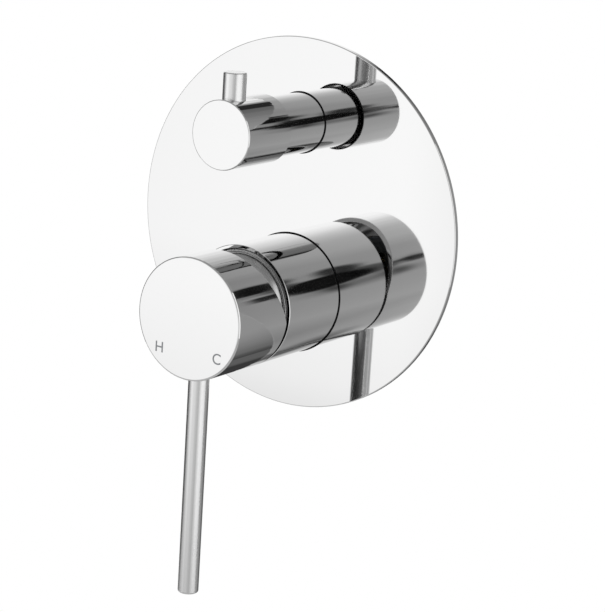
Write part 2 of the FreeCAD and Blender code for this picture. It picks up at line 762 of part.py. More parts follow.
def make_headwork():
    """Brass headwork: thread, flange, hexagon, collar with its groove, neck and side windows."""
    groove_half = diverter_ring_section + 2 * assembly_gap
    groove_floor = diverter_bore - 2 * diverter_ring_section - 2 * assembly_gap
    thread = headwork_thread_radius - assembly_gap
    shaft_bore = spindle_radius + running_gap
    shoulder_bore = spindle_shoulder_radius + running_gap
    corner_radius = headwork_hexagon / math.sqrt(3)
    body = turned([(headwork_bore_radius, headwork_rear), (headwork_rear_radius, headwork_rear),
                   (headwork_rear_radius, window_front), (thread, window_front),
                   (thread, headwork_flange_face), (headwork_flange_radius, headwork_flange_face),
                   (headwork_flange_radius, headwork_hexagon_start),
                   (corner_radius, headwork_hexagon_start), (corner_radius, headwork_collar_start),
                   (headwork_collar_radius, headwork_collar_start),
                   (headwork_collar_radius, headwork_ring_y + groove_half),
                   (groove_floor, headwork_ring_y + groove_half),
                   (groove_floor, headwork_ring_y - groove_half),
                   (headwork_collar_radius, headwork_ring_y - groove_half),
                   (headwork_collar_radius, headwork_neck_start), (headwork_neck_radius, headwork_neck_start),
                   (headwork_neck_radius, -headwork_neck_reach), (shaft_bore, -headwork_neck_reach),
                   (shaft_bore, washer_front - assembly_gap), (shoulder_bore, washer_front - assembly_gap),
                   (shoulder_bore, window_front), (headwork_bore_radius, window_front)], diverter_z)
    hexagon_depth = Vector(0, -headwork_hexagon_height, 0)
    around = tube(2 * headwork_flange_radius, shoulder_bore, headwork_hexagon_start,
                  headwork_collar_start, diverter_z)
    hexagon = prism(hexagon_corners(headwork_hexagon), Vector(0, headwork_hexagon_start, diverter_z),
                    hexagon_depth)
    body = body.cut(around.cut(hexagon))
    for side in (-1, 1):
        near = diverter_z + side * window_height
        far = diverter_z + side * headwork_thread_radius
        low = (-headwork_thread_radius, window_front + assembly_gap, min(near, far))
        high = (headwork_thread_radius, window_rear, max(near, far))
        body = body.cut(block(low, high))
    return body


def make_headwork_gasket():
    """Flat gasket under the headwork's flange."""
    return tube(headwork_flange_radius, headwork_thread_radius + assembly_gap,
                headwork_face_depth, headwork_flange_face, diverter_z)


def make_diverter_spindle():
    """Spindle with a drive tongue, shoulder, ring groove, circlip groove and splined end."""
    groove_floor = spindle_radius - spindle_ring_section
    groove_half = spindle_ring_section / 2 + assembly_gap
    clip_front = -(headwork_neck_reach + circlip_offset + circlip_width + assembly_gap)
    clip_rear = -(headwork_neck_reach + circlip_offset)
    spindle = turned([(0, shoulder_rear), (spindle_shoulder_radius, shoulder_rear),
                      (spindle_shoulder_radius, spindle_shoulder_front),
                      (spindle_radius, spindle_shoulder_front),
                      (spindle_radius, -spindle_ring_reach + groove_half),
                      (groove_floor, -spindle_ring_reach + groove_half),
                      (groove_floor, -spindle_ring_reach - groove_half),
                      (spindle_radius, -spindle_ring_reach - groove_half),
                      (spindle_radius, clip_rear), (circlip_groove_radius, clip_rear),
                      (circlip_groove_radius, clip_front), (spindle_radius, clip_front),
                      (spindle_radius, -spline_start_reach), (spline_root, -spline_start_reach),
                      (spline_root, -spindle_tip_reach), (0, -spindle_tip_reach)], diverter_z)
    splines = prism(spline_corners(0), Vector(0, -spline_start_reach, diverter_z),
                    Vector(0, spline_start_reach - spindle_tip_reach, 0))
    tongue = block((-drive_tongue_width / 2, shoulder_rear, diverter_z - drive_tongue_half_span),
                   (drive_tongue_width / 2, diverter_moving_front + drive_tongue_length,
                    diverter_z + drive_tongue_half_span))
    return spindle.fuse([splines, tongue]).removeSplitter()


def make_spindle_ring():
    """Square rubber ring that seals the spindle in the neck."""
    half = spindle_ring_section / 2
    return tube(spindle_radius + running_gap / 2, spindle_radius - spindle_ring_section + assembly_gap,
                half - spindle_ring_reach, -half - spindle_ring_reach, diverter_z)


def make_spindle_washer():
    """Slip washer between the spindle's shoulder and the headwork."""
    return tube(spindle_shoulder_radius, spindle_radius + assembly_gap, spindle_shoulder_front - assembly_gap,
                washer_front, diverter_z)


def make_circlip():
    """Open spring ring in the spindle's groove, in front of the neck."""
    rear = -(headwork_neck_reach + circlip_offset) - assembly_gap / 2
    clip = tube(circlip_radius, circlip_groove_radius + assembly_gap, rear, rear - circlip_width, diverter_z)
    return clip.cut(block((-circlip_groove_radius, rear - 2 * circlip_width, diverter_z - 2 * circlip_radius),
                          (circlip_groove_radius, rear + circlip_width, diverter_z)))


def make_diverter_moving_disc():
    """Ceramic disc with a drive slot and a radial channel that leads to one of the windows."""
    disc = rod(diverter_disc_radius, (0, diverter_moving_front, diverter_z), (0, window_rear, diverter_z))
    channel = block((0, window_rear - diverter_disc_height / 2, diverter_z - diverter_channel_half),
                    (2 * diverter_disc_radius, window_rear, diverter_z + diverter_channel_half))
    slot_half = drive_tongue_width / 2 + assembly_gap
    slot_end = drive_tongue_half_span + assembly_gap
    slot = block((-slot_half, diverter_moving_front, diverter_z - slot_end),
                 (slot_half, diverter_moving_front + drive_tongue_length, diverter_z + slot_end))
    return disc.cut(channel).cut(slot)


def make_diverter_fixed_disc():
    """Ceramic disc with one passage in the middle."""
    return tube(diverter_disc_radius, diverter_port_radius, diverter_fixed_front, diverter_fixed_rear,
                diverter_z)


def make_seat_ring():
    """Rubber seat between the fixed disc and the floor of the chamber."""
    return tube(diverter_disc_radius, seat_ring_radius, diverter_fixed_rear,
                diverter_floor_depth - assembly_gap, diverter_z)


def body_solid():
    """Outside of the cast brass body, before its passages are made."""
    boss = rod(boss_radius, (0, block_depth, mixer_z), (0, -boss_reach, mixer_z))
    arms = rod(port_outer_radius, (-inlet_span, inlet_depth, mixer_z), (inlet_span, inlet_depth, mixer_z))
    foot = rod(port_outer_radius, (0, bath_outlet_depth, -bath_outlet_bottom),
               (0, bath_outlet_depth, mixer_z))
    web = block((-web_half_width, web_front_depth, -web_bottom),
                (web_half_width, back_depth, diverter_z))
    upright = [edge for edge in web.Edges if edge.BoundBox.ZLength > web_bottom]
    web = web.makeFillet(casting_round, upright)
    saddle = block((-saddle_half_width, saddle_depth, saddle_bottom),
                   (saddle_half_width, back_depth, diverter_z))
    head = rod(diverter_block_radius, (0, headwork_face_depth, diverter_z), (0, back_depth, diverter_z))
    crown = rod(port_outer_radius, (0, outlet_depth, diverter_z), (0, outlet_depth, shower_outlet_top))
    solid = boss.fuse([arms, foot, web, saddle, head, crown])
    for side in (-1, 1):
        x = side * lug_x
        ear = rod(lug_radius, (x, back_depth - lug_thickness, lug_z), (x, back_depth, lug_z))
        arm = block((min(0, x), back_depth - lug_thickness, lug_z - lug_radius),
                    (max(0, x), back_depth, lug_z + lug_radius))
        hole = rod(lug_hole_radius, (x, 0, lug_z), (x, 2 * back_depth, lug_z))
        solid = solid.fuse([ear, arm]).cut(hole)
    return solid


def make_valve_body():
    """Brass body: two chambers, inlet and outlet threads and the drilled ducts between them."""
    body = body_solid()
    thread_end = nut_thread_length - boss_reach + 2 * assembly_gap
    groove_floor = sleeve_bore - 2 * ring_section - 2 * assembly_gap
    groove_half = ring_section + 2 * assembly_gap
    above_floor = -chamber_floor_reach - overshoot
    tools = [
        rod(nut_thread_radius, (0, thread_end, mixer_z), (0, -boss_reach - overshoot, mixer_z)),
        rod(chamber_bore, (0, -chamber_floor_reach, mixer_z), (0, -boss_reach, mixer_z)),
        tube(2 * boss_radius, groove_floor, groove_half - mixer_ring_reach,
             -groove_half - mixer_ring_reach, mixer_z),
        rod(headwork_thread_radius, (0, 0, diverter_z), (0, window_front, diverter_z)),
        rod(chamber_radius, (0, 0, diverter_z), (0, diverter_floor_depth, diverter_z)),
        rod(diverter_floor_hole, (0, 0, diverter_z), (0, duct_depth + duct_radius / 2, diverter_z)),
    ]
    for side, (x, z) in zip((-1, 1), inlets):
        thread_start = side * (inlet_span - port_thread_length)
        tools.append(rod(inlet_radius + passage_extra, (x, above_floor, z), (x, inlet_depth, z)))
        tools.append(rod(inlet_duct_radius, (side * inlet_duct_start, inlet_depth, mixer_z),
                         (thread_start, inlet_depth, mixer_z)))
        tools.append(rod(port_thread_radius, (thread_start, inlet_depth, mixer_z),
                         (side * (inlet_span + overshoot), inlet_depth, mixer_z)))
        peg_place = (side * peg_x, above_floor, mixer_z + peg_rise)
        peg_floor = (side * peg_x, peg_length - base_bottom + assembly_gap, mixer_z + peg_rise)
        tools.append(rod(peg_radius + assembly_gap, peg_place, peg_floor))
    tools.append(rod(outlet_radius + passage_extra, (outlet[0], above_floor, outlet[1]),
                     (outlet[0], duct_depth, outlet[1])))
    tools.append(rod(duct_radius, (mixed_duct_x, duct_depth, outlet[1]),
                     (mixed_duct_x, duct_depth, diverter_z)))
    shower_bottom = shower_outlet_top - shower_thread_length
    tools.append(rod(port_thread_radius, (0, outlet_depth, shower_bottom),
                     (0, outlet_depth, shower_outlet_top + overshoot)))
    tools.append(rod(shower_passage, (0, outlet_depth, diverter_z), (0, outlet_depth, shower_bottom)))
    bath_top = port_thread_length - bath_outlet_bottom
    tools.append(rod(port_thread_radius, (0, bath_outlet_depth, -bath_outlet_bottom - overshoot),
                     (0, bath_outlet_depth, bath_top)))
    tools.append(rod(bath_passage, (0, bath_outlet_depth, bath_top),
                     (0, bath_outlet_depth, -bath_duct_bottom)))
    tools.append(rod(duct_radius, (-bath_duct_x, duct_depth, -bath_duct_bottom),
                     (0, bath_outlet_depth, -bath_duct_bottom)))
    tools.append(rod(duct_radius, (-bath_duct_x, duct_depth, -bath_duct_bottom),
                     (-bath_duct_x, duct_depth, bath_duct_top)))
    chamber_low = diverter_z - chamber_radius + bath_duct_entry
    tools.append(rod(duct_radius, (-bath_duct_x, duct_depth, bath_duct_top),
                     (-bath_duct_end_x, outlet_depth, chamber_low)))
    for tool in tools:
        body = body.cut(tool)
    return body


lever_screw_tip = mixer_z - stem_square / 2 - assembly_gap
knob_screw_tip = diverter_z + spline_radius + assembly_gap

nodes = {
    "wall_plate": make_wall_plate(),
    "plate_gasket": make_plate_gasket(),
    "mixer_sleeve": make_mixer_sleeve(),
    "mixer_sleeve_seal": make_sleeve_seal(sleeve_radius, mixer_z),
    "mixer_sleeve_ring": round_ring(sleeve_bore - ring_section - assembly_gap, ring_section,
                                    -mixer_ring_reach, mixer_z),
    "mixer_handle": make_mixer_handle(),
    "mixer_lever": make_mixer_lever(),
    "handle_grub_screw": make_grub_screw(lever_y, lever_screw_tip, lever_screw_tip - grub_length),
    "mixer_stem": make_mixer_stem(),
    "stem_pivot_pin": make_stem_pivot_pin(),
    "mixer_rotor": make_mixer_rotor(),
    "disc_carrier": make_disc_carrier(),
    "moving_disc": make_moving_disc(),
    "fixed_disc": make_fixed_disc(),
    "cartridge_base": make_cartridge_base(),
    "disc_seals": make_port_rings(base_top - port_ring_height + assembly_gap, base_top),
    "port_seals": make_port_rings(chamber_floor_reach + assembly_gap,
                                  base_bottom + port_ring_height - assembly_gap),
    "cartridge_housing": make_cartridge_housing(),
    "cartridge_nut": make_cartridge_nut(),
    "dome_cover": make_dome_cover(),
    "valve_body": make_valve_body(),
    "diverter_sleeve": make_diverter_sleeve(),
    "diverter_sleeve_seal": make_sleeve_seal(diverter_sleeve_radius, diverter_z),
    "diverter_sleeve_ring": round_ring(diverter_bore - diverter_ring_section - assembly_gap,
                                       diverter_ring_section, headwork_ring_y, diverter_z),
    "diverter_knob": make_diverter_knob(),
    "diverter_pin": make_diverter_pin(),
    "knob_grub_screw": make_grub_screw(knob_pin_y, knob_screw_tip, knob_screw_tip + knob_grub_length),
    "diverter_spindle": make_diverter_spindle(),
    "diverter_circlip": make_circlip(),
    "spindle_washer": make_spindle_washer(),
    "spindle_ring": make_spindle_ring(),
    "diverter_headwork": make_headwork(),
    "headwork_gasket": make_headwork_gasket(),
    "diverter_moving_disc": make_diverter_moving_disc(),
    "diverter_fixed_disc": make_diverter_fixed_disc(),
    "diverter_seat_ring": make_seat_ring(),
}

os.makedirs("parts", exist_ok=True)
for name, shape in nodes.items():
    shape.exportStep("parts/" + name + ".step")
    print(name, "solids", len(shape.Solids), "volume", round(shape.Volume, 1), "valid", shape.isValid())
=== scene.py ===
# %% [markdown]
# # A shower mixer with a diverter
#
# The object is a wall-mounted shower mixer: a round mirror-polished plate, a thick turned handle
# with a pin lever, and a small diverter knob above it. Nearly all that shows is chromed, so the
# picture is made of reflections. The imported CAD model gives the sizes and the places; this script
# builds smooth pieces over the turned parts, gives every other part its finish, and sets up the
# studio whose screens and boards are what the chrome shows.

# %% Load the frame
import json
import math
import bpy
from mathutils import Matrix, Vector


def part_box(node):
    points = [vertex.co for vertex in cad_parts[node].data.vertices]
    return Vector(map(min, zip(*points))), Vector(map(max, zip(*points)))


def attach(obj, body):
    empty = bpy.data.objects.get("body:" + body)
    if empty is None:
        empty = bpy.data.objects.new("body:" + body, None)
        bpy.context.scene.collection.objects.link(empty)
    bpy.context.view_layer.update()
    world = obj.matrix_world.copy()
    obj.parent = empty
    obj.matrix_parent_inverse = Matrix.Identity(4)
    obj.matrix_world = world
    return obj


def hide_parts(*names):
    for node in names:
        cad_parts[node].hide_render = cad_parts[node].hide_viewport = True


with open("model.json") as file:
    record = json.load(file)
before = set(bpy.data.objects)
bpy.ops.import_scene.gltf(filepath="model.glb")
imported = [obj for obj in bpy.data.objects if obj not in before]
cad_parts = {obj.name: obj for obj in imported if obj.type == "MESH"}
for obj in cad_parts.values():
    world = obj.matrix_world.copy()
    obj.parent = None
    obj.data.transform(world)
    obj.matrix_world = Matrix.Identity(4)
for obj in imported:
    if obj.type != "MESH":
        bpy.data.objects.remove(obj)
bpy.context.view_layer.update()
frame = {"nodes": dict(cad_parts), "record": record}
bpy.ops.object.select_all(action="DESELECT")

# %% [markdown]
# ## Places and sizes
#
# Lengths are in metres, as in the CAD model. The two controls turn about lines along y, at the
# heights `MIXER_Z` and `DIVERTER_Z`. The boxes of the CAD nodes give the outer sizes, so the
# pieces stay true to the frame.

# %% Places taken from the CAD nodes
MM = 0.001
X, Y, Z = 0, 1, 2
MIXER_Z = -28.1 * MM
DIVERTER_Z = 41.1 * MM


def low(cad_node):
    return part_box(cad_node)[0]


def high(cad_node):
    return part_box(cad_node)[1]


handle_front = low("mixer_handle")[Y]
handle_rear = high("mixer_handle")[Y]
handle_radius = high("mixer_handle")[X]
print("handle from", round(handle_front / MM, 2), "to", round(handle_rear / MM, 2), "mm")

# %% [markdown]
# ## How a turned piece is made
#
# On a lathe a part is a profile swept round an axis. The same can be done by hand in edit mode:
# start with a circle at one end of the profile, extrude it along the axis, scale the new ring to
# its radius, and go on round the profile. Spin would do it too, but extruding and scaling keeps
# every ring's radius a plain number. A profile that closes on itself gives a tube; one that ends
# on the axis is closed there by merging the last ring to a point.

# %% Helpers for edit mode
# sides of a turned piece, and the radius of a ring that stands for a point
ROUND = 192
POINT = 0.001 * MM
# points this close are merged, which is wide enough to make one point of such a ring
WELD = 0.003 * MM
# turns that stand a flat primitive up, or leave it lying
UPRIGHT = (math.pi / 2, 0, 0)
FLAT = (0, 0, 0)


def deselect():
    bpy.ops.object.select_all(action="DESELECT")


def pick(piece):
    """Makes the piece the active object, and the only one selected."""
    deselect()
    piece.select_set(True)
    bpy.context.view_layer.objects.active = piece


def weld(closer_than=WELD):
    """Merges double points in edit mode, turns all faces outwards and leaves edit mode."""
    bpy.ops.mesh.select_all(action="SELECT")
    bpy.ops.mesh.remove_doubles(threshold=closer_than)
    bpy.ops.mesh.normals_make_consistent(inside=False)
    bpy.ops.object.mode_set(mode="OBJECT")


# %% The lathe
def arc(centre, radius, start, end, steps):
    """Points (radius from the axis, place) on part of a circle, for a rounded edge."""
    points = []
    for step in range(steps + 1):
        angle = math.radians(start + (end - start) * step / steps)
        points.append((centre[0] + radius * math.cos(angle), centre[1] + radius * math.sin(angle)))
    return points


def turned(name, profile, axis="Y", centre=(0, 0, 0), closed=True, around=ROUND):
    """Lathe piece: profile is a list of (radius, place along the axis) in metres."""
    deselect()
    along = Y if axis == "Y" else Z
    turn = UPRIGHT if axis == "Y" else FLAT
    radius, place = profile[0]
    start = list(centre)
    start[along] += place
    bpy.ops.mesh.primitive_circle_add(vertices=around, radius=radius, location=start, rotation=turn)
    piece = bpy.context.object
    piece.name = name
    bpy.ops.object.transform_apply(location=True, rotation=True, scale=True)
    bpy.ops.object.mode_set(mode="EDIT")
    bpy.ops.mesh.select_mode(type="EDGE")
    bpy.ops.mesh.select_all(action="SELECT")
    for next_radius, next_place in profile[1:] + ([profile[0]] if closed else []):
        move = [0, 0, 0]
        move[along] = next_place - place
        bpy.ops.mesh.extrude_region_move(TRANSFORM_OT_translate={"value": move})
        middle = list(centre)
        middle[along] += next_place
        next_radius = max(next_radius, POINT)
        scale = [next_radius / radius] * 3
        scale[along] = 1
        bpy.ops.transform.resize(value=scale, center_override=middle)
        radius, place = next_radius, next_place
    weld()
    return piece


# %% [markdown]
# ### Smoothing and drilling
#
# A turned piece is then shaded smooth, with sharp edges only where its faces meet at a clear
# angle, and weighted normals that keep its flat faces flat right up to their rounded rims. Holes
# are drilled with a cylinder that a Boolean modifier takes away.

# %% Helpers for smoothing and drilling
def smooth(piece, degrees=32):
    """Smooth shading, with sharp edges where two faces meet at more than this angle."""
    pick(piece)
    bpy.ops.object.shade_smooth_by_angle(angle=math.radians(degrees))
    weighted = piece.modifiers.new("flat faces stay flat", "WEIGHTED_NORMAL")
    weighted.keep_sharp = True
    bpy.ops.object.modifier_apply(modifier=weighted.name)


def drill(radius, start, end, around=96):
    """A plain cylinder from one point to another, to cut a hole with."""
    deselect()
    start, end = Vector(start), Vector(end)
    span = end - start
    turn = span.to_track_quat("Z", "Y").to_euler()
    bpy.ops.mesh.primitive_cylinder_add(vertices=around, radius=radius, depth=span.length,
                                        location=(start + end) / 2, rotation=turn)
    return bpy.context.object


def cut_with(piece, cutter):
    """Takes the cutter's space out of the piece and removes the cutter."""
    pick(piece)
    cut = piece.modifiers.new("cut", "BOOLEAN")
    cut.operation = "DIFFERENCE"
    cut.solver = "EXACT"
    cut.object = cutter
    bpy.ops.object.modifier_apply(modifier=cut.name)
    bpy.data.objects.remove(cutter)


# %% [markdown]
# ## The wall plate
#
# The real plate is pressed from sheet, polished to a mirror and chromed. It is a shallow pan: flat
# in front, with a small rounded edge and a rim that turns back to the wall. It is turned as one
# profile, with a ring halfway out that keeps the flat face's triangles short, and then the two
# holes for the cover tubes are cut out.

# %% Wall plate
plate_radius = high("wall_plate")[X]
plate_front = low("wall_plate")[Y]
plate_sheet = 1.0 * MM
plate_back = plate_front + plate_sheet
plate_edge = 0.4 * MM
rim_inside = plate_radius - 1.2 * MM
plate_profile = (
    [(POINT, plate_front), (plate_radius / 2, plate_front)]
    + arc((plate_radius - plate_edge, plate_front + plate_edge), plate_edge, start=-90, end=0, steps=6)
    + [(plate_radius, 0), (rim_inside, 0), (rim_inside, plate_back), (POINT, plate_back)]
)
plate = turned("plate_disc", plate_profile, closed=False, around=360)
print("plate:", round(2 * plate_radius / MM, 1), "mm across")

# %% Its two holes
sleeve_radius = high("mixer_sleeve")[X]
diverter_sleeve_radius = high("diverter_sleeve")[X]
hole_gap = 0.45 * MM
drill_reach = 10 * MM
for radius, z in ((sleeve_radius, MIXER_Z), (diverter_sleeve_radius, DIVERTER_Z)):
    cut_with(plate, drill(radius + hole_gap, (0, -drill_reach, z), (0, drill_reach, z), around=ROUND))
smooth(plate)
print("plate:", len(plate.data.vertices), "vertices")
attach(plate, "valve")
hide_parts("wall_plate")

# %% [markdown]
# ## The cover tubes
#
# Each control stands in a plain chromed tube that hides the brass body. The tube's front edges are
# broken so that they don't cut; a broken edge also catches a thin line of light.

# %% Cover tubes
def cover_tube(name, cad_node, axis_z, wall, broken):
    lowest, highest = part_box(cad_node)
    outer, front, rear = highest[X], lowest[Y], highest[Y]
    inner = outer - wall
    profile = [(inner, rear), (inner, front + broken), (inner + broken, front),
               (outer - broken, front), (outer, front + broken), (outer, rear)]
    tube = turned(name, profile, centre=(0, 0, axis_z))
    smooth(tube)
    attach(tube, "valve")
    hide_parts(cad_node)
    print(name, round(2 * outer / MM, 1), "mm across")
    return tube


mixer_tube = cover_tube("mixer_tube", "mixer_sleeve", MIXER_Z, wall=1.4 * MM, broken=0.2 * MM)
diverter_tube = cover_tube("diverter_tube", "diverter_sleeve", DIVERTER_Z, wall=0.9 * MM, broken=0.25 * MM)

# %% [markdown]
# ## The rubber collars
#
# A rubber collar fills the gap between each tube and the plate. From the front it is only the thin
# dark line that separates a tube from its mirror image, so it gets a small rounded lip.

# %% Rubber collars
collar_gap = 0.05 * MM


def collar(name, cad_node, tube_radius, axis_z):
    lowest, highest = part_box(cad_node)
    inner = tube_radius + collar_gap
    neck = tube_radius + hole_gap - collar_gap
    lip, nose = highest[X], lowest[Y]
    shoulder = plate_back + collar_gap
    half = (neck - inner) / 2
    profile = ([(inner, 0), (lip, 0), (lip, shoulder), (neck, shoulder), (neck, nose + half)]
               + arc((inner + half, nose + half), half, start=0, end=-180, steps=6)[1:])
    piece = turned(name, profile, centre=(0, 0, axis_z))
    smooth(piece)
    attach(piece, "valve")
    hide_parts(cad_node)
    print(name, round(2 * half / MM, 2), "mm thick in the gap")
    return piece


mixer_collar = collar("mixer_collar", "mixer_sleeve_seal", sleeve_radius, MIXER_Z)
diverter_collar = collar("diverter_collar", "diverter_sleeve_seal", diverter_sleeve_radius, DIVERTER_Z)

# %% [markdown]
# ## The mixer's handle
#
# The handle is a thick turned cap with a boss inside for the stem. Its front face is flat, with a
# finely rounded rim, and stands back by `face_step` to leave room for the printed marks. The wall
# round the hollow is thinner than the CAD model's, as the real object's gap shows. The seam
# between cap and cover tube is a wide dark line there, so the cap also ends a little further
# forward here than in the CAD model, by `seam_extra`.

# %% Mixer handle
handle_wall = 1.7 * MM
handle_rim = 0.8 * MM
face_step = 0.03 * MM
seam_extra = 1.1 * MM
floor_depth = 15.5 * MM
floor_round = 1.5 * MM
boss_radius = 8.0 * MM
boss_length = 7.0 * MM
hollow_radius = handle_radius - handle_wall
front_y = handle_front + face_step
floor_y = handle_front + floor_depth
boss_end = floor_y + boss_length
handle_back = handle_rear - seam_extra
handle_profile = (
    [(POINT, front_y), (handle_radius / 2, front_y)]
    + arc((handle_radius - handle_rim, front_y + handle_rim), handle_rim, start=-90, end=0, steps=10)
    + [(handle_radius, handle_back), (hollow_radius, handle_back)]
    + arc((hollow_radius - floor_round, floor_y + floor_round), floor_round, start=0, end=-90, steps=5)
    + [(boss_radius, floor_y), (boss_radius, boss_end), (POINT, boss_end)]
)
handle = turned("handle_cap", handle_profile, centre=(0, 0, MIXER_Z), closed=False, around=256)
print("handle:", round((handle_back - front_y) / MM, 1), "mm long")

# %% [markdown]
# ### The slanted cut and the lever's hole
#
# Behind its upper half the cap is cut off on a slant of 24 degrees, so that it can tip back when
# the lever is lifted, and this leaves a crescent-shaped gap. A bisect with fill makes that cut, as
# a saw would, and a bevel breaks its edges. A hole from below takes the lever, with a little play.

# %% Slanted cut
cut_angle = math.radians(24)
cut_start = 4.5 * MM
cut_bevel = 0.2 * MM
pick(handle)
bpy.ops.object.mode_set(mode="EDIT")
bpy.ops.mesh.select_all(action="SELECT")
bpy.ops.mesh.bisect(plane_co=(0, handle_rear, MIXER_Z - cut_start),
                    plane_no=(0, math.cos(cut_angle), math.sin(cut_angle)),
                    use_fill=True, clear_outer=True)
bpy.ops.mesh.bevel(offset=cut_bevel, segments=2, affect="EDGES")
weld()
print("handle after the cut:", len(handle.data.vertices), "vertices")

# %% Lever's hole
lever_radius = high("mixer_lever")[X]
lever_y = (low("mixer_lever")[Y] + high("mixer_lever")[Y]) / 2
lever_seat = MIXER_Z - 20.0 * MM
below_handle = MIXER_Z - 40 * MM
rod_play = 0.06 * MM
cut_with(handle, drill(lever_radius + rod_play, (0, lever_y, below_handle), (0, lever_y, lever_seat)))
smooth(handle)
print("handle:", len(handle.data.vertices), "vertices")
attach(handle, "lever_handle")
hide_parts("mixer_handle")

# %% [markdown]
# ## The pin lever
#
# The lever is a drawn rod with a turned end. Its tip is rounded just enough to be kind to the
# fingers. The same lathe helper makes it, this time about a line along z.

# %% Pin lever
lever_tip = low("mixer_lever")[Z]
tip_round = 0.9 * MM
lever_profile = (
    [(POINT, lever_tip), (lever_radius / 2, lever_tip)]
    + arc((lever_radius - tip_round, lever_tip + tip_round), tip_round, start=-90, end=0, steps=7)
    + [(lever_radius, (lever_tip + lever_seat) / 2), (lever_radius, lever_seat), (POINT, lever_seat)]
)
lever = turned("pin_lever", lever_profile, axis="Z", centre=(0, lever_y, 0), closed=False, around=96)
smooth(lever)
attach(lever, "lever_handle")
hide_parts("mixer_lever")
print("lever:", round((lever_seat - lever_tip) / MM, 1), "mm long")

# %% [markdown]
# ## The diverter's knob
#
# The knob is turned from bar. Its back is bored out in two steps, so that it slides over the cover
# tube, and a cross hole at the top takes the short pin. A drill through the rim makes that hole.

# %% Diverter knob
knob_low, knob_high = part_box("diverter_knob")
knob_radius = knob_high[X]
knob_front, knob_rear = knob_low[Y], knob_high[Y]
knob_rim = 0.5 * MM
rear_edge = 0.15 * MM
recess_radius = 12.9 * MM
recess_floor = knob_rear - 4.0 * MM
cavity_radius = 8.5 * MM
cavity_floor = recess_floor - 5.0 * MM
knob_profile = (
    [(POINT, knob_front), (knob_radius / 2, knob_front)]
    + arc((knob_radius - knob_rim, knob_front + knob_rim), knob_rim, start=-90, end=0, steps=8)
    + [(knob_radius, knob_rear - rear_edge), (knob_radius - rear_edge, knob_rear),
       (recess_radius, knob_rear), (recess_radius, recess_floor), (cavity_radius, recess_floor),
       (cavity_radius, cavity_floor), (POINT, cavity_floor)]
)
knob = turned("knob_cap", knob_profile, centre=(0, 0, DIVERTER_Z), closed=False, around=256)
print("knob:", round(2 * knob_radius / MM, 1), "mm across")

# %% Pin's hole
pin_low, pin_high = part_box("diverter_pin")
pin_radius = pin_high[X]
pin_y = (pin_low[Y] + pin_high[Y]) / 2
pin_seat = DIVERTER_Z + 11.5 * MM
above_knob = DIVERTER_Z + 30 * MM
cut_with(knob, drill(pin_radius + rod_play, (0, pin_y, pin_seat), (0, pin_y, above_knob)))
smooth(knob)
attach(knob, "diverter")
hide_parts("diverter_knob")
print("knob:", len(knob.data.vertices), "vertices")

# %% [markdown]
# ## The knob's pin
#
# The pin is a short piece of drawn rod with its top edge rounded. It stands on the floor of the
# cross hole, a little under the knob's surface.

# %% Knob's pin
pin_top = pin_high[Z]
pin_round = 0.6 * MM
pin_profile = (
    [(POINT, pin_seat), (pin_radius, pin_seat), (pin_radius, pin_top - pin_round)]
    + arc((pin_radius - pin_round, pin_top - pin_round), pin_round, start=0, end=90, steps=6)
    + [(pin_radius / 2, pin_top), (POINT, pin_top)]
)
pin = turned("knob_pin", pin_profile, axis="Z", centre=(0, pin_y, 0), closed=False, around=96)
smooth(pin)
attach(pin, "diverter")
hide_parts("diverter_pin")
print("pin:", round((pin_top - pin_seat) / MM, 1), "mm long")

# %% [markdown]
# ## The dome cover behind the handle
#
# A thin spun cover hides the cartridge's nut. It shows through the crescent gap: two turned steps
# and a dome with a round opening for the cartridge's neck. The dome's outline is a quarter of an
# ellipse, and its inside follows it, one sheet's thickness further back and a little closer in.

# %% Outline of the dome
cover_low, cover_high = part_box("dome_cover")
cover_radius = cover_high[X]
cover_rear, cover_top = cover_high[Y], cover_low[Y]
sheet = 0.9 * MM
sheet_across = sheet * 0.6
opening = 13.9 * MM
dome_y = -36.1 * MM
dome_radius = 21.0 * MM
dome_steps = 12
dome = []
for step in range(dome_steps + 1):
    share = step / dome_steps
    rise = math.sin(math.pi / 2 * share)
    closing = 1 - math.cos(math.pi / 2 * share)
    dome.append((dome_radius + (opening - dome_radius) * closing, dome_y + (cover_top - dome_y) * rise))
inside = [(max(radius - sheet_across, opening), y + sheet) for radius, y in reversed(dome)]
print("dome:", round((dome_y - cover_top) / MM, 1), "mm high")

# %% Dome cover
step_y = -35.3 * MM
step_edge = 0.2 * MM
shoulder_radius = 21.6 * MM
shoulder_edge = 0.15 * MM
cover_profile = (
    [(cover_radius - sheet, cover_rear), (cover_radius, cover_rear), (cover_radius, step_y + step_edge),
     (cover_radius - step_edge, step_y), (shoulder_radius, step_y),
     (shoulder_radius, dome_y + shoulder_edge), (shoulder_radius - shoulder_edge, dome_y)]
    + dome + inside[1:] + [(cover_radius - sheet, dome_y + sheet)]
)
dome_cover = turned("dome_shell", cover_profile, centre=(0, 0, MIXER_Z))
smooth(dome_cover)
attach(dome_cover, "valve")
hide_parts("dome_cover")
print("dome cover:", len(dome_cover.data.vertices), "vertices")

# %% [markdown]
# ## The hot and cold marks
#
# H and C are the generic marks of hot and cold water. They are small grey letters printed on the
# handle's face, in ink that stands only 0.03 mm proud. Text is turned into a mesh first, then
# stood upright and put in its place, so that the piece's place is in its mesh.

# %% Letters
# a capital of the built-in font is 0.73 high at size 1
mark_height = 4.4 * MM
capital_share = 0.73
stroke_spread = 0.03 * MM
ink_half = 0.02 * MM
letter_weld = 0.0001 * MM


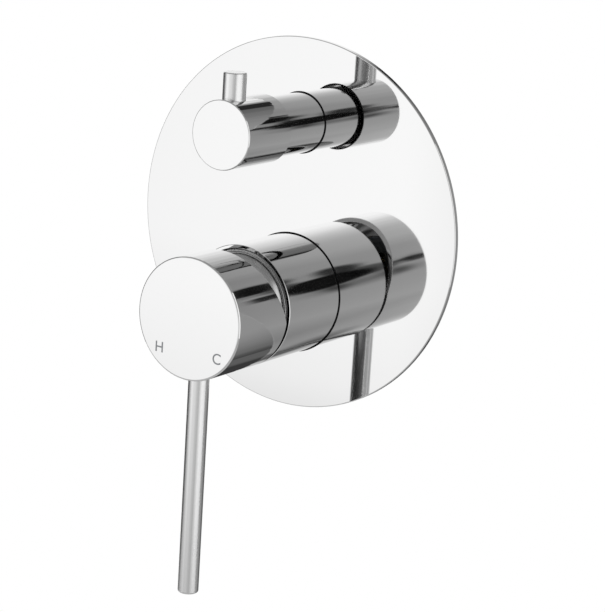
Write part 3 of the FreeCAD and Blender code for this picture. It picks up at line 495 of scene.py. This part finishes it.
def letter(name, text, x, z):
    """A flat printed letter with its middle at x and z on the handle's face."""
    deselect()
    bpy.ops.object.text_add(location=(0, 0, 0))
    writing = bpy.context.object
    writing.name = name
    writing.data.body = text
    writing.data.align_x = "CENTER"
    writing.data.align_y = "CENTER"
    writing.data.size = mark_height / capital_share
    writing.data.offset = stroke_spread
    writing.data.extrude = ink_half
    bpy.ops.object.convert(target="MESH")
    piece = bpy.context.object
    corners = [Vector(corner) for corner in piece.bound_box]
    middle = sum(corners, Vector()) / len(corners)
    stand_up = Matrix.Rotation(math.pi / 2, 4, "X")
    to_place = Matrix.Translation((x, handle_front + ink_half, z))
    piece.data.transform(to_place @ stand_up @ Matrix.Translation(-middle))
    pick(piece)
    bpy.ops.object.mode_set(mode="EDIT")
    weld(letter_weld)
    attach(piece, "lever_handle")
    print(name, len(piece.data.vertices), "vertices")
    return piece


hot_mark = letter("mark_hot", "H", x=-13.2 * MM, z=MIXER_Z - 13.3 * MM)
cold_mark = letter("mark_cold", "C", x=14.2 * MM, z=MIXER_Z - 12.8 * MM)

# %% [markdown]
# ## Finishes
#
# Each finish is one material of a few nodes. `node` adds a node with its settings and links, and
# `colour` turns a hex value as seen on screen into the linear numbers that Blender works in.

# %% Helpers for materials
def colour(hex_value):
    """Linear RGBA of an sRGB colour written as rrggbb."""
    channels = []
    for place in (0, 2, 4):
        value = int(hex_value[place:place + 2], 16) / 255
        channels.append(value / 12.92 if value <= 0.04045 else ((value + 0.055) / 1.055) ** 2.4)
    return (*channels, 1.0)


def node(tree, kind, settings=None, links=None):
    """Adds a node; settings are its properties and socket values, links its inputs' sources."""
    made = tree.nodes.new(kind)
    for key, value in (settings or {}).items():
        if isinstance(key, int) or key in made.inputs:
            made.inputs[key].default_value = value
        else:
            setattr(made, key, value)
    for key, source in (links or {}).items():
        tree.links.new(source, made.inputs[key])
    return made


def new_material(name):
    material = bpy.data.materials.new(name)
    material.use_nodes = True
    material.node_tree.nodes.clear()
    return material, material.node_tree


def finish(tree, shader):
    output = node(tree, "ShaderNodeOutputMaterial")
    tree.links.new(shader.outputs[0], output.inputs["Surface"])


# %% [markdown]
# ### Polished chrome
#
# Chromium plated over polished brass is a near mirror. Under a grazing light it shows a faint haze
# and hair-fine lines, so the roughness wanders a little with a coarse noise, and a very shallow
# bump follows fine lines that run along each body or rod. Real lines are far finer than a
# millimetre. They are drawn about a millimetre apart, or they would not show at all.

# %% Chrome
# lines to the metre along x, y and z: drawn out along y for a body, along z for a rod
ALONG_BODY = (900, 60, 900)
ALONG_ROD = (900, 900, 30)
# the noise hardly leaves this range, which is spread over the whole range of roughness
HAZE_LOW, HAZE_HIGH = 0.3, 0.7
LINE_DEPTH = 0.01 * MM


def chrome(name, tint, rough_low, rough_high, haze_mm, bump, line_scale=ALONG_BODY):
    """Plated metal, from its tint, its range of roughness, the haze's size and the lines."""
    material, tree = new_material(name)
    place = node(tree, "ShaderNodeTexCoord").outputs["Object"]
    haze = node(tree, "ShaderNodeTexNoise", {"Scale": 1 / (haze_mm * MM), "Detail": 3.0}, {"Vector": place})
    rough = node(tree, "ShaderNodeMapRange",
                 {"From Min": HAZE_LOW, "From Max": HAZE_HIGH, "To Min": rough_low, "To Max": rough_high},
                 {"Value": haze.outputs["Fac"]})
    lines = node(tree, "ShaderNodeMapping", {"Scale": line_scale}, {"Vector": place})
    scratch = node(tree, "ShaderNodeTexNoise", {"Scale": 1.0, "Detail": 2.0}, {"Vector": lines.outputs[0]})
    relief = node(tree, "ShaderNodeBump", {"Strength": bump, "Distance": LINE_DEPTH},
                  {"Height": scratch.outputs["Fac"]})
    shader = node(tree, "ShaderNodeBsdfPrincipled", {"Base Color": colour(tint), "Metallic": 1.0},
                  {"Roughness": rough.outputs[0], "Normal": relief.outputs[0]})
    finish(tree, shader)
    return material


# the plate is buffed flat, without lines, so reflections are sharp and undistorted
plate_chrome = chrome("mirror_polished_chrome", "f8f8f8", rough_low=0.02, rough_high=0.04, haze_mm=40,
                      bump=0.0)
# turned and buffed bodies are sharp too, with the faintest waver round the cylinder
body_chrome = chrome("polished_chrome", "f8f8f8", rough_low=0.03, rough_high=0.06, haze_mm=20, bump=0.03)
# drawn rods are plated without buffing, which leaves soft bands of light along the rod
rod_chrome = chrome("satin_drawn_chrome", "f8f8f8", rough_low=0.24, rough_high=0.28, haze_mm=12, bump=0.01,
                    line_scale=ALONG_ROD)
# the spun sheet behind the handle is greyer and blurred
spun_chrome = chrome("spun_satin_chrome", "d0d0d0", rough_low=0.26, rough_high=0.32, haze_mm=8, bump=0.05)
print("chrome finishes:", plate_chrome.name, body_chrome.name, rod_chrome.name, spun_chrome.name)

# %% [markdown]
# ### The other finishes
#
# Rubber and plastics are dull, with a fine moulded grain. Turned brass has a soft warm shine, and
# cast brass a sandy skin. Lapped alumina is a smooth warm white. All of them are a noise at the
# size of the grain, which gives the bump and the roughness, and one of wider patches that mixes
# two near colours. Fine grain is drawn coarser than the real one, so that it shows.

# %% The recipe for a dull finish
# patches are some twelve grains across, and the roughness varies by this much to either side
PATCH_SHARE = 0.08
ROUGH_SPREAD = 0.08
# numbers of the Mix node's sockets for colours
COLOUR_A, COLOUR_B, MIXED_COLOUR = 6, 7, 2


def dull(name, base, other, rough, grain_mm, bump, metallic=0.0, depth_mm=0.05):
    """A finish whose colour and surface vary with a noise of the given grain."""
    material, tree = new_material(name)
    place = node(tree, "ShaderNodeTexCoord").outputs["Object"]
    grain = node(tree, "ShaderNodeTexNoise", {"Scale": 1 / (grain_mm * MM), "Detail": 6.0}, {"Vector": place})
    patch = node(tree, "ShaderNodeTexNoise", {"Scale": PATCH_SHARE / (grain_mm * MM), "Detail": 2.0},
                 {"Vector": place})
    mixed = node(tree, "ShaderNodeMix",
                 {"data_type": "RGBA", COLOUR_A: colour(base), COLOUR_B: colour(other)},
                 {"Factor": patch.outputs["Fac"]})
    relief = node(tree, "ShaderNodeBump", {"Strength": bump, "Distance": depth_mm * MM},
                  {"Height": grain.outputs["Fac"]})
    rough_range = node(tree, "ShaderNodeMapRange",
                       {"To Min": rough - ROUGH_SPREAD, "To Max": rough + ROUGH_SPREAD},
                       {"Value": grain.outputs["Fac"]})
    shader = node(tree, "ShaderNodeBsdfPrincipled", {"Metallic": metallic},
                  {"Base Color": mixed.outputs[MIXED_COLOUR], "Roughness": rough_range.outputs[0],
                   "Normal": relief.outputs[0]})
    finish(tree, shader)
    return material


# %% Metals, rubber, plastics and ceramic
# turned brass gives a warm soft shine, cast brass a browner sandy skin
turned_brass = dull("turned_brass", "d2b266", "c2a25a", rough=0.3, grain_mm=1.2, bump=0.15, metallic=0.8)
cast_brass = dull("sand_cast_brass", "c9aa68", "b08f50", rough=0.5, grain_mm=0.9, bump=0.6, metallic=0.6,
                  depth_mm=0.1)
# ground steel is a cool grey, moulded rubber near black and matt
ground_steel = dull("ground_stainless_steel", "b9babb", "a4a5a6", rough=0.32, grain_mm=0.8, bump=0.2,
                    metallic=1.0)
rubber = dull("moulded_nitrile_rubber", "101011", "18181a", rough=0.6, grain_mm=0.6, bump=0.3)
# foam shows its cells, pressed fibre its reddish felt
foam = dull("closed_cell_foam", "2b2c2d", "3a3b3c", rough=0.85, grain_mm=0.7, bump=0.8, depth_mm=0.2)
fibre = dull("pressed_fibre", "8a4a34", "763c29", rough=0.75, grain_mm=0.8, bump=0.5)
# moulded acetal has a waxy half shine, lapped alumina a smooth warm white
grey_plastic = dull("moulded_acetal_grey", "55585b", "4c4f52", rough=0.45, grain_mm=0.5, bump=0.15)
white_plastic = dull("moulded_acetal_white", "e2e1da", "d8d7cf", rough=0.42, grain_mm=0.5, bump=0.15)
ceramic = dull("lapped_alumina", "ece9e2", "e2dfd6", rough=0.2, grain_mm=0.4, bump=0.05)
finishes = {
    "chrome_plate": plate_chrome, "chrome": body_chrome, "chrome_lever": rod_chrome,
    "brass": turned_brass, "brass_cast": cast_brass, "steel": ground_steel, "rubber": rubber, "foam": foam,
    "fibre": fibre, "grey_plastic": grey_plastic, "white_plastic": white_plastic, "ceramic": ceramic,
}
print("finishes by slot:", len(finishes))

# %% Finishes for single places
# inside the caps the plating is thin and dull, and the near-black finish of the ends is painted shade: the
# shade in the narrow seams behind the handle and the knob
cap_inside = dull("dull_nickel_inside", "8a8a8a", "787878", rough=0.45, grain_mm=0.8, bump=0.3, metallic=1.0)
painted_shade_ends = dull("painted_seam_shade", "1c1c1c", "161616", rough=0.5, grain_mm=0.8, bump=0.2, metallic=1.0)
# printing ink lies flat and matt on the chrome
mark_ink = dull("grey_printing_ink", "8c8e91", "838588", rough=0.55, grain_mm=0.3, bump=0.1)
print("other finishes:", cap_inside.name, painted_shade_ends.name, mark_ink.name)

# %% [markdown]
# ### Putting the finishes on
#
# The record names a slot for each CAD node, and the slot picks the finish. The turned pieces get
# theirs one by one.

# %% One finish for each piece
for part in frame["record"]["subparts"]:
    cad = frame["nodes"][part["node"]]
    cad.data.materials.clear()
    cad.data.materials.append(finishes[part["material_slot"]])
for piece, material in ((plate, plate_chrome), (mixer_tube, body_chrome), (diverter_tube, body_chrome),
                        (mixer_collar, rubber), (diverter_collar, rubber), (handle, body_chrome),
                        (lever, rod_chrome), (knob, body_chrome), (pin, rod_chrome),
                        (dome_cover, spun_chrome), (hot_mark, mark_ink), (cold_mark, mark_ink)):
    piece.data.materials.clear()
    piece.data.materials.append(material)

# %% [markdown]
# ### Faces with another finish
#
# The hollows of the two caps are dull. The knob's rear end, and the mixer tube's front end and its
# inside up to a little above the axis, are painted near black: painted shade, for the narrow seams
# that light hardly enters. Higher up, the slanted cut leaves the tube's end in plain view, so it
# stays chrome. All these faces are picked out by their place.

# %% Faces with another finish
PLAY = 0.05 * MM
REAR_FACING = 0.8
outer_edge = 0.15 * MM
rear_band = 0.2 * MM
seam_top = MIXER_Z + 6 * MM


def reach(face, axis_z):
    """How far the middle of a face is from a control's axis."""
    return math.hypot(face.center.x, face.center.z - axis_z)


def in_hollow(face, axis_z, radius, floor):
    """True for a face of a cap's hollow, and not for the cap's own rear end."""
    return (reach(face, axis_z) < radius + PLAY and face.center.y > floor - MM
            and face.normal.y < REAR_FACING)


def finish_faces(piece, material, chosen):
    """Gives one more finish to the faces that the rule picks out."""
    piece.data.materials.append(material)
    faces = [face for face in piece.data.polygons if chosen(face)]
    for face in faces:
        face.material_index = len(piece.data.materials) - 1
    print(piece.name, len(faces), "faces with", material.name)


finish_faces(handle, cap_inside, lambda face: in_hollow(face, MIXER_Z, hollow_radius, floor_y))
finish_faces(knob, cap_inside, lambda face: in_hollow(face, DIVERTER_Z, recess_radius, cavity_floor))
# painted shade: the tube's front end and inside below seam_top, where the seam behind the handle is narrow
finish_faces(mixer_tube, painted_shade_ends, lambda face: (reach(face, MIXER_Z) < sleeve_radius - outer_edge
                                                  and face.center.z < seam_top))
# painted shade: the knob's rear end, in the shaded gap between the knob and the plate
finish_faces(knob, painted_shade_ends, lambda face: face.center.y > knob_rear - rear_band)

# %% [markdown]
# ## The studio
#
# A mirror has no look of its own. What chrome shows is the room, so the room is part of the
# picture: a wide screen in front, one behind, and a board at each side, above and below. They are
# there for reflections only: they light nothing, and the camera doesn't see them. Light loses a
# part of its strength at each real chrome surface. The screens do this instead, by the number of
# reflections that a ray has made, so that the first reflection can stay bright. Most of them dim
# from the third reflection on. The rear screen and the right board dim more, from the second.

# %% Helpers for the screens
WHITE = (1, 1, 1, 1)
MULTIPLY = {"operation": "MULTIPLY"}


def emission_material(name, strength_nodes, full_bounces=2.0, kept=0.45):
    """Light of the given pattern, of which later reflections keep only a part."""
    material, tree = new_material(name)
    place = node(tree, "ShaderNodeTexCoord").outputs["Object"]
    pattern = strength_nodes(tree, place)
    bounces = node(tree, "ShaderNodeLightPath").outputs["Glossy Depth"]
    left = node(tree, "ShaderNodeMapRange",
                {"From Min": full_bounces, "From Max": full_bounces + 1.0, "To Min": 1.0, "To Max": kept},
                {"Value": bounces})
    strength = node(tree, "ShaderNodeMath", MULTIPLY, {0: pattern, 1: left.outputs[0]})
    shader = node(tree, "ShaderNodeEmission", {"Color": WHITE}, {"Strength": strength.outputs[0]})
    finish(tree, shader)
    return material


def card(name, width, height, centre, turn, light):
    """A flat card for reflections only: its width and height, its middle, its turn and its light."""
    deselect()
    bpy.ops.mesh.primitive_plane_add(size=1, location=(0, 0, 0))
    board = bpy.context.object
    board.name = name
    board.data.transform(Matrix.Diagonal((width, height, 1, 1)))
    board.rotation_euler = turn
    board.location = centre
    board.visible_camera = False
    board.visible_diffuse = False
    board.visible_shadow = False
    board.visible_transmission = False
    board.data.materials.append(light)
    print(name, width, "by", height, "m")


def ramp(tree, source, low_end, high_end, stops):
    """Grey value of a position between two ends, from (position, value) stops."""
    spread = node(tree, "ShaderNodeMapRange", {"From Min": low_end, "From Max": high_end}, {"Value": source})
    curve = node(tree, "ShaderNodeValToRGB", None, {"Fac": spread.outputs[0]})
    elements = curve.color_ramp.elements
    while len(elements) < len(stops):
        elements.new(0.5)
    for element, (position, value) in zip(elements, stops):
        element.position = (position - low_end) / (high_end - low_end)
        element.color = (value, value, value, 1)
    return curve.outputs["Color"]


# %% [markdown]
# ### The front screen's dark spots
#
# Soft dark ellipses on the front screen, most of them in bows at its right, become the black
# streaks along the cylinders. A spherical gradient in the texture mode of a Mapping node makes
# such an ellipse from its middle, half sizes and turn. Each line here gives these in metres and
# degrees, then how much light the spot takes, and how soft its edge is.

# %% Dark spots
DARK_SPOTS = [
    ((0.496, 0.18), (0.12, 0.056), -69, 0.98, 0.2),
    ((0.445, 0.18), (0.095, 0.03), -69, 0.75, 0.35),
    ((0.405, 0.165), (0.055, 0.024), -69, 0.95, 0.3),
    ((0.408, 0.298), (0.10, 0.028), -56, 0.92, 0.4),
    ((0.455, 0.378), (0.115, 0.046), -47, 0.98, 0.3),
    ((0.485, 0.30), (0.05, 0.03), -60, 0.75, 0.5),
    ((0.553, 0.205), (0.06, 0.022), -72, 0.95, 0.5),
    ((0.50, 0.04), (0.11, 0.08), 90, 0.5, 0.8),
    ((0.525, 0.045), (0.09, 0.018), 90, 0.75, 0.7),
    ((0.462, 0.05), (0.085, 0.022), -86, 0.7, 0.8),
    ((-0.20, -0.56), (0.24, 0.06), 0, 0.7, 0.6),
]


def dark_spot(tree, place, light, spot):
    """Dims the light inside one of the ellipses."""
    middle, half_sizes, turn, depth, soft = spot
    local = node(tree, "ShaderNodeMapping",
                 {"vector_type": "TEXTURE", "Location": (*middle, 0), "Rotation": (0, 0, math.radians(turn)),
                  "Scale": (*half_sizes, 1)}, {"Vector": place})
    gradient = node(tree, "ShaderNodeTexGradient", {"gradient_type": "SPHERICAL"},
                    {"Vector": local.outputs[0]})
    keep = node(tree, "ShaderNodeMapRange", {"From Max": soft, "To Min": 1.0, "To Max": 1.0 - depth},
                {"Value": gradient.outputs["Fac"]})
    return node(tree, "ShaderNodeMath", MULTIPLY, {0: light, 1: keep.outputs[0]}).outputs[0]


print("dark spots:", len(DARK_SPOTS))

# %% [markdown]
# ### The front screen
#
# The plate and the faces of handle and knob look at the screen's bright left. The sides of the
# cylinders see it by way of the plate, further right, where it falls to grey. Its shade across is
# one ramp. Its shade up and down is another, and changes from the left part to the right part.
# The right part is up to half as bright again in a first reflection, which is how the rods and the
# rounded rims see it.

# %% Front screen
FRONT_WIDTH, FRONT_HEIGHT = 3.0, 1.8
LEFT_ENDS, RIGHT_STARTS = -0.1, 0.4
EXTRA_STARTS, EXTRA_FULL = -0.2, 0.3
FIRST_EXTRA = 0.5
# numbers of the Mix node's sockets for plain values
SHARE, VALUE_A, VALUE_B = 0, 2, 3


def front_pattern(tree, axes):
    """The screen's light before the dark spots: one ramp across, and two up and down."""
    half_width, half_height = FRONT_WIDTH / 2, FRONT_HEIGHT / 2
    across = ramp(tree, axes.outputs["X"], -half_width, half_width, [
        (-1.0, 0.88), (-0.6, 0.97), (-0.38, 1.0), (-0.28, 0.87), (-0.1, 0.70), (0.1, 0.59), (0.25, 0.43),
        (0.65, 0.32), (0.75, 0.45), (0.95, 0.70)])
    down_left = ramp(tree, axes.outputs["Y"], -half_height, half_height, [
        (-0.62, 0.42), (-0.5, 0.5), (-0.4, 0.64), (-0.3, 0.92), (-0.2, 1.0), (0.15, 1.0), (0.25, 0.9),
        (0.45, 0.6), (0.65, 0.42)])
    down_right = ramp(tree, axes.outputs["Y"], -half_height, half_height, [
        (-0.62, 0.5), (-0.5, 0.65), (-0.35, 0.87), (-0.15, 0.85), (0.0, 0.82), (0.2, 0.78), (0.35, 0.68),
        (0.45, 0.68), (0.65, 0.5)])
    side = node(tree, "ShaderNodeMapRange", {"From Min": LEFT_ENDS, "From Max": RIGHT_STARTS},
                {"Value": axes.outputs["X"]})
    down = node(tree, "ShaderNodeMix", {"data_type": "FLOAT"},
                {SHARE: side.outputs[0], VALUE_A: down_left, VALUE_B: down_right})
    return node(tree, "ShaderNodeMath", MULTIPLY, {0: across, 1: down.outputs[0]}).outputs[0]


def front_strength(tree, place):
    """The pattern with its dark spots, and the extra light of a first reflection at the right."""
    axes = node(tree, "ShaderNodeSeparateXYZ", None, {0: place})
    light = front_pattern(tree, axes)
    for spot in DARK_SPOTS:
        light = dark_spot(tree, place, light, spot)
    bounces = node(tree, "ShaderNodeLightPath").outputs["Glossy Depth"]
    first = node(tree, "ShaderNodeMapRange",
                 {"From Min": 1.0, "From Max": 2.0, "To Min": FIRST_EXTRA, "To Max": 0.0}, {"Value": bounces})
    right = node(tree, "ShaderNodeMapRange", {"From Min": EXTRA_STARTS, "From Max": EXTRA_FULL},
                 {"Value": axes.outputs["X"]})
    extra = node(tree, "ShaderNodeMath", {"operation": "MULTIPLY_ADD", 2: 1.0},
                 {0: first.outputs[0], 1: right.outputs[0]})
    return node(tree, "ShaderNodeMath", MULTIPLY, {0: light, 1: extra.outputs[0]}).outputs[0]


front_light = emission_material("front_screen_light", front_strength)
card("screen_front", FRONT_WIDTH, FRONT_HEIGHT, centre=(0, -0.72, 0), turn=UPRIGHT, light=front_light)

# %% [markdown]
# ### The rear screen
#
# The underside of the handle and the edges of the cylinders look past the plate, to a screen
# behind it. It is nearly black behind the object, grey further right, and bright at its upper
# left. One ramp gives its upper part, one its lower, and a third fades between them.

# %% Rear screen
REAR_REACH = 0.5
FADE_REACH = 0.2


def rear_strength(tree, place):
    axes = node(tree, "ShaderNodeSeparateXYZ", None, {0: place})
    upper = ramp(tree, axes.outputs["X"], -REAR_REACH, REAR_REACH, [
        (-0.22, 0.9), (-0.17, 0.45), (-0.08, 0.02), (0.01, 0.02), (0.05, 0.11), (0.4, 0.28)])
    lower = ramp(tree, axes.outputs["X"], -REAR_REACH, REAR_REACH, [
        (-0.12, 0.04), (-0.05, 0.11), (0.04, 0.11), (0.08, 0.05), (0.12, 0.11), (0.4, 0.28)])
    rise = ramp(tree, axes.outputs["Y"], -FADE_REACH, FADE_REACH, [(-0.12, 0.0), (0.12, 1.0)])
    return node(tree, "ShaderNodeMix", {"data_type": "FLOAT"},
                {SHARE: rise, VALUE_A: lower, VALUE_B: upper}).outputs[0]


rear_light = emission_material("rear_screen_light", rear_strength, full_bounces=1.0, kept=0.25)
card("screen_rear", width=2.4, height=1.6, centre=(0, 0.50, 0), turn=UPRIGHT, light=rear_light)

# %% [markdown]
# ### The boards
#
# The side boards give the rods and the rounded rims their light and dark edges: dark at the left,
# bright at the right. The ones above and below are grey. Each changes only along its width.

# %% Boards
SIDEWAYS = (math.pi / 2, 0, math.pi / 2)
BOARD_REACH = 1.5


def board_strength(stops):
    """Light that changes along the board's width only."""
    def strength(tree, place):
        axes = node(tree, "ShaderNodeSeparateXYZ", None, {0: place})
        return ramp(tree, axes.outputs["X"], -BOARD_REACH, BOARD_REACH, stops)
    return strength


left_shades = board_strength([(-0.55, 0.4), (-0.19, 0.15), (0.11, 0.06), (0.41, 0.04)])
right_shades = board_strength([(-0.6, 1.04), (0.6, 0.86)])
top_shades = board_strength([(-1.3, 0.34), (1.3, 0.22)])
bottom_shades = board_strength([(-1.3, 0.54), (1.3, 0.36)])
left_light = emission_material("left_board_light", left_shades)
right_light = emission_material("right_board_light", right_shades, full_bounces=1.0, kept=0.3)
top_light = emission_material("top_board_light", top_shades)
bottom_light = emission_material("bottom_board_light", bottom_shades)
card("board_left", width=1.22, height=1.8, centre=(-1.25, -0.11, 0), turn=SIDEWAYS, light=left_light)
card("board_right", width=1.22, height=1.8, centre=(1.5, -0.11, 0), turn=SIDEWAYS, light=right_light)
card("board_top", width=2.4, height=1.22, centre=(-0.2, -0.11, 0.88), turn=FLAT, light=top_light)
card("board_bottom", width=2.8, height=1.22, centre=(-0.1, -0.11, -0.66), turn=FLAT, light=bottom_light)

# %% [markdown]
# ## Background, floor and lamps
#
# The background is white because the world and the floor show white to the camera and to
# reflections. For the light that they throw, the world is dimmer and the floor is pale paint, which
# keeps the object's shadow. Two large lamps light what isn't chrome.

# %% World
WORLD_LIGHT = 0.55
MAXIMUM = {"operation": "MAXIMUM"}


def shown(tree):
    """1 for rays that show the background: from the camera, reflected or let through."""
    path = node(tree, "ShaderNodeLightPath")
    seen = node(tree, "ShaderNodeMath", MAXIMUM,
                {0: path.outputs["Is Camera Ray"], 1: path.outputs["Is Glossy Ray"]})
    return node(tree, "ShaderNodeMath", MAXIMUM,
                {0: seen.outputs[0], 1: path.outputs["Is Transmission Ray"]}).outputs[0]


world = bpy.data.worlds.new("studio")
bpy.context.scene.world = world
world.use_nodes = True
world_tree = world.node_tree
world_tree.nodes.clear()
level = node(world_tree, "ShaderNodeMapRange", {"To Min": WORLD_LIGHT, "To Max": 1.0},
             {"Value": shown(world_tree)})
backdrop = node(world_tree, "ShaderNodeBackground", {"Color": WHITE}, {"Strength": level.outputs[0]})
world_output = node(world_tree, "ShaderNodeOutputWorld")
world_tree.links.new(backdrop.outputs[0], world_output.inputs["Surface"])
print("world:", world.name)

# %% Floor
FLOOR_SIZE = 12
FLOOR_Z = -0.70
deselect()
bpy.ops.mesh.primitive_plane_add(size=FLOOR_SIZE, location=(0, 0, FLOOR_Z))
floor = bpy.context.object
floor.name = "floor"
floor_material, floor_tree = new_material("pale_floor")
paint = node(floor_tree, "ShaderNodeBsdfDiffuse", {"Color": colour("f2f2f2")})
glow = node(floor_tree, "ShaderNodeEmission", {"Color": WHITE, "Strength": 1.0})
both = node(floor_tree, "ShaderNodeMixShader", None,
            {0: shown(floor_tree), 1: paint.outputs[0], 2: glow.outputs[0]})
finish(floor_tree, both)
floor.data.materials.append(floor_material)
print("floor at", round(floor.location.z, 2), "m")

# %% Lamps
def soft_lamp(name, place, size, watts):
    """A square lamp that points at the object's middle and shows in no reflection."""
    data = bpy.data.lights.new(name, "AREA")
    data.size = size
    data.energy = watts
    lamp = bpy.data.objects.new(name, data)
    bpy.context.collection.objects.link(lamp)
    lamp.location = place
    lamp.rotation_euler = (-Vector(place)).to_track_quat("-Z", "Y").to_euler()
    lamp.visible_glossy = False
    print(name, watts, "W")


soft_lamp("lamp_key", place=(-1.0, -1.2, 1.2), size=1.0, watts=18)
soft_lamp("lamp_fill", place=(1.3, 1.0, 0.8), size=1.2, watts=18)

# %% [markdown]
# ## The camera
#
# The camera stands nearly 34 degrees to the right of straight on and 14 degrees above, rolled by
# under 4 degrees, 0.88 m away with a long lens. These values make the plate's outline, the rims of
# the cylinders and their mirror images fall where they should. The turn is put together from three
# plain ones: the roll about the line of sight, the tilt from straight down, and the azimuth.

# %% Camera
azimuth, elevation, roll = 33.69, 13.57, 3.63
camera_place = (0.4836, -0.7175, 0.1748)
camera_data = bpy.data.cameras.new("camera")
camera = bpy.data.objects.new("camera", camera_data)
bpy.context.collection.objects.link(camera)
turn = (Matrix.Rotation(math.radians(azimuth), 4, "Z") @ Matrix.Rotation(math.radians(90 - elevation), 4, "X")
        @ Matrix.Rotation(math.radians(roll), 4, "Z"))
camera.matrix_world = Matrix.Translation(camera_place) @ turn
camera_data.sensor_width = 36
camera_data.lens = 129.12
camera_data.clip_end = 50
bpy.context.scene.camera = camera
bpy.context.scene.view_settings.view_transform = "Standard"
print("camera", round(camera.location.length, 3), "m from the middle")
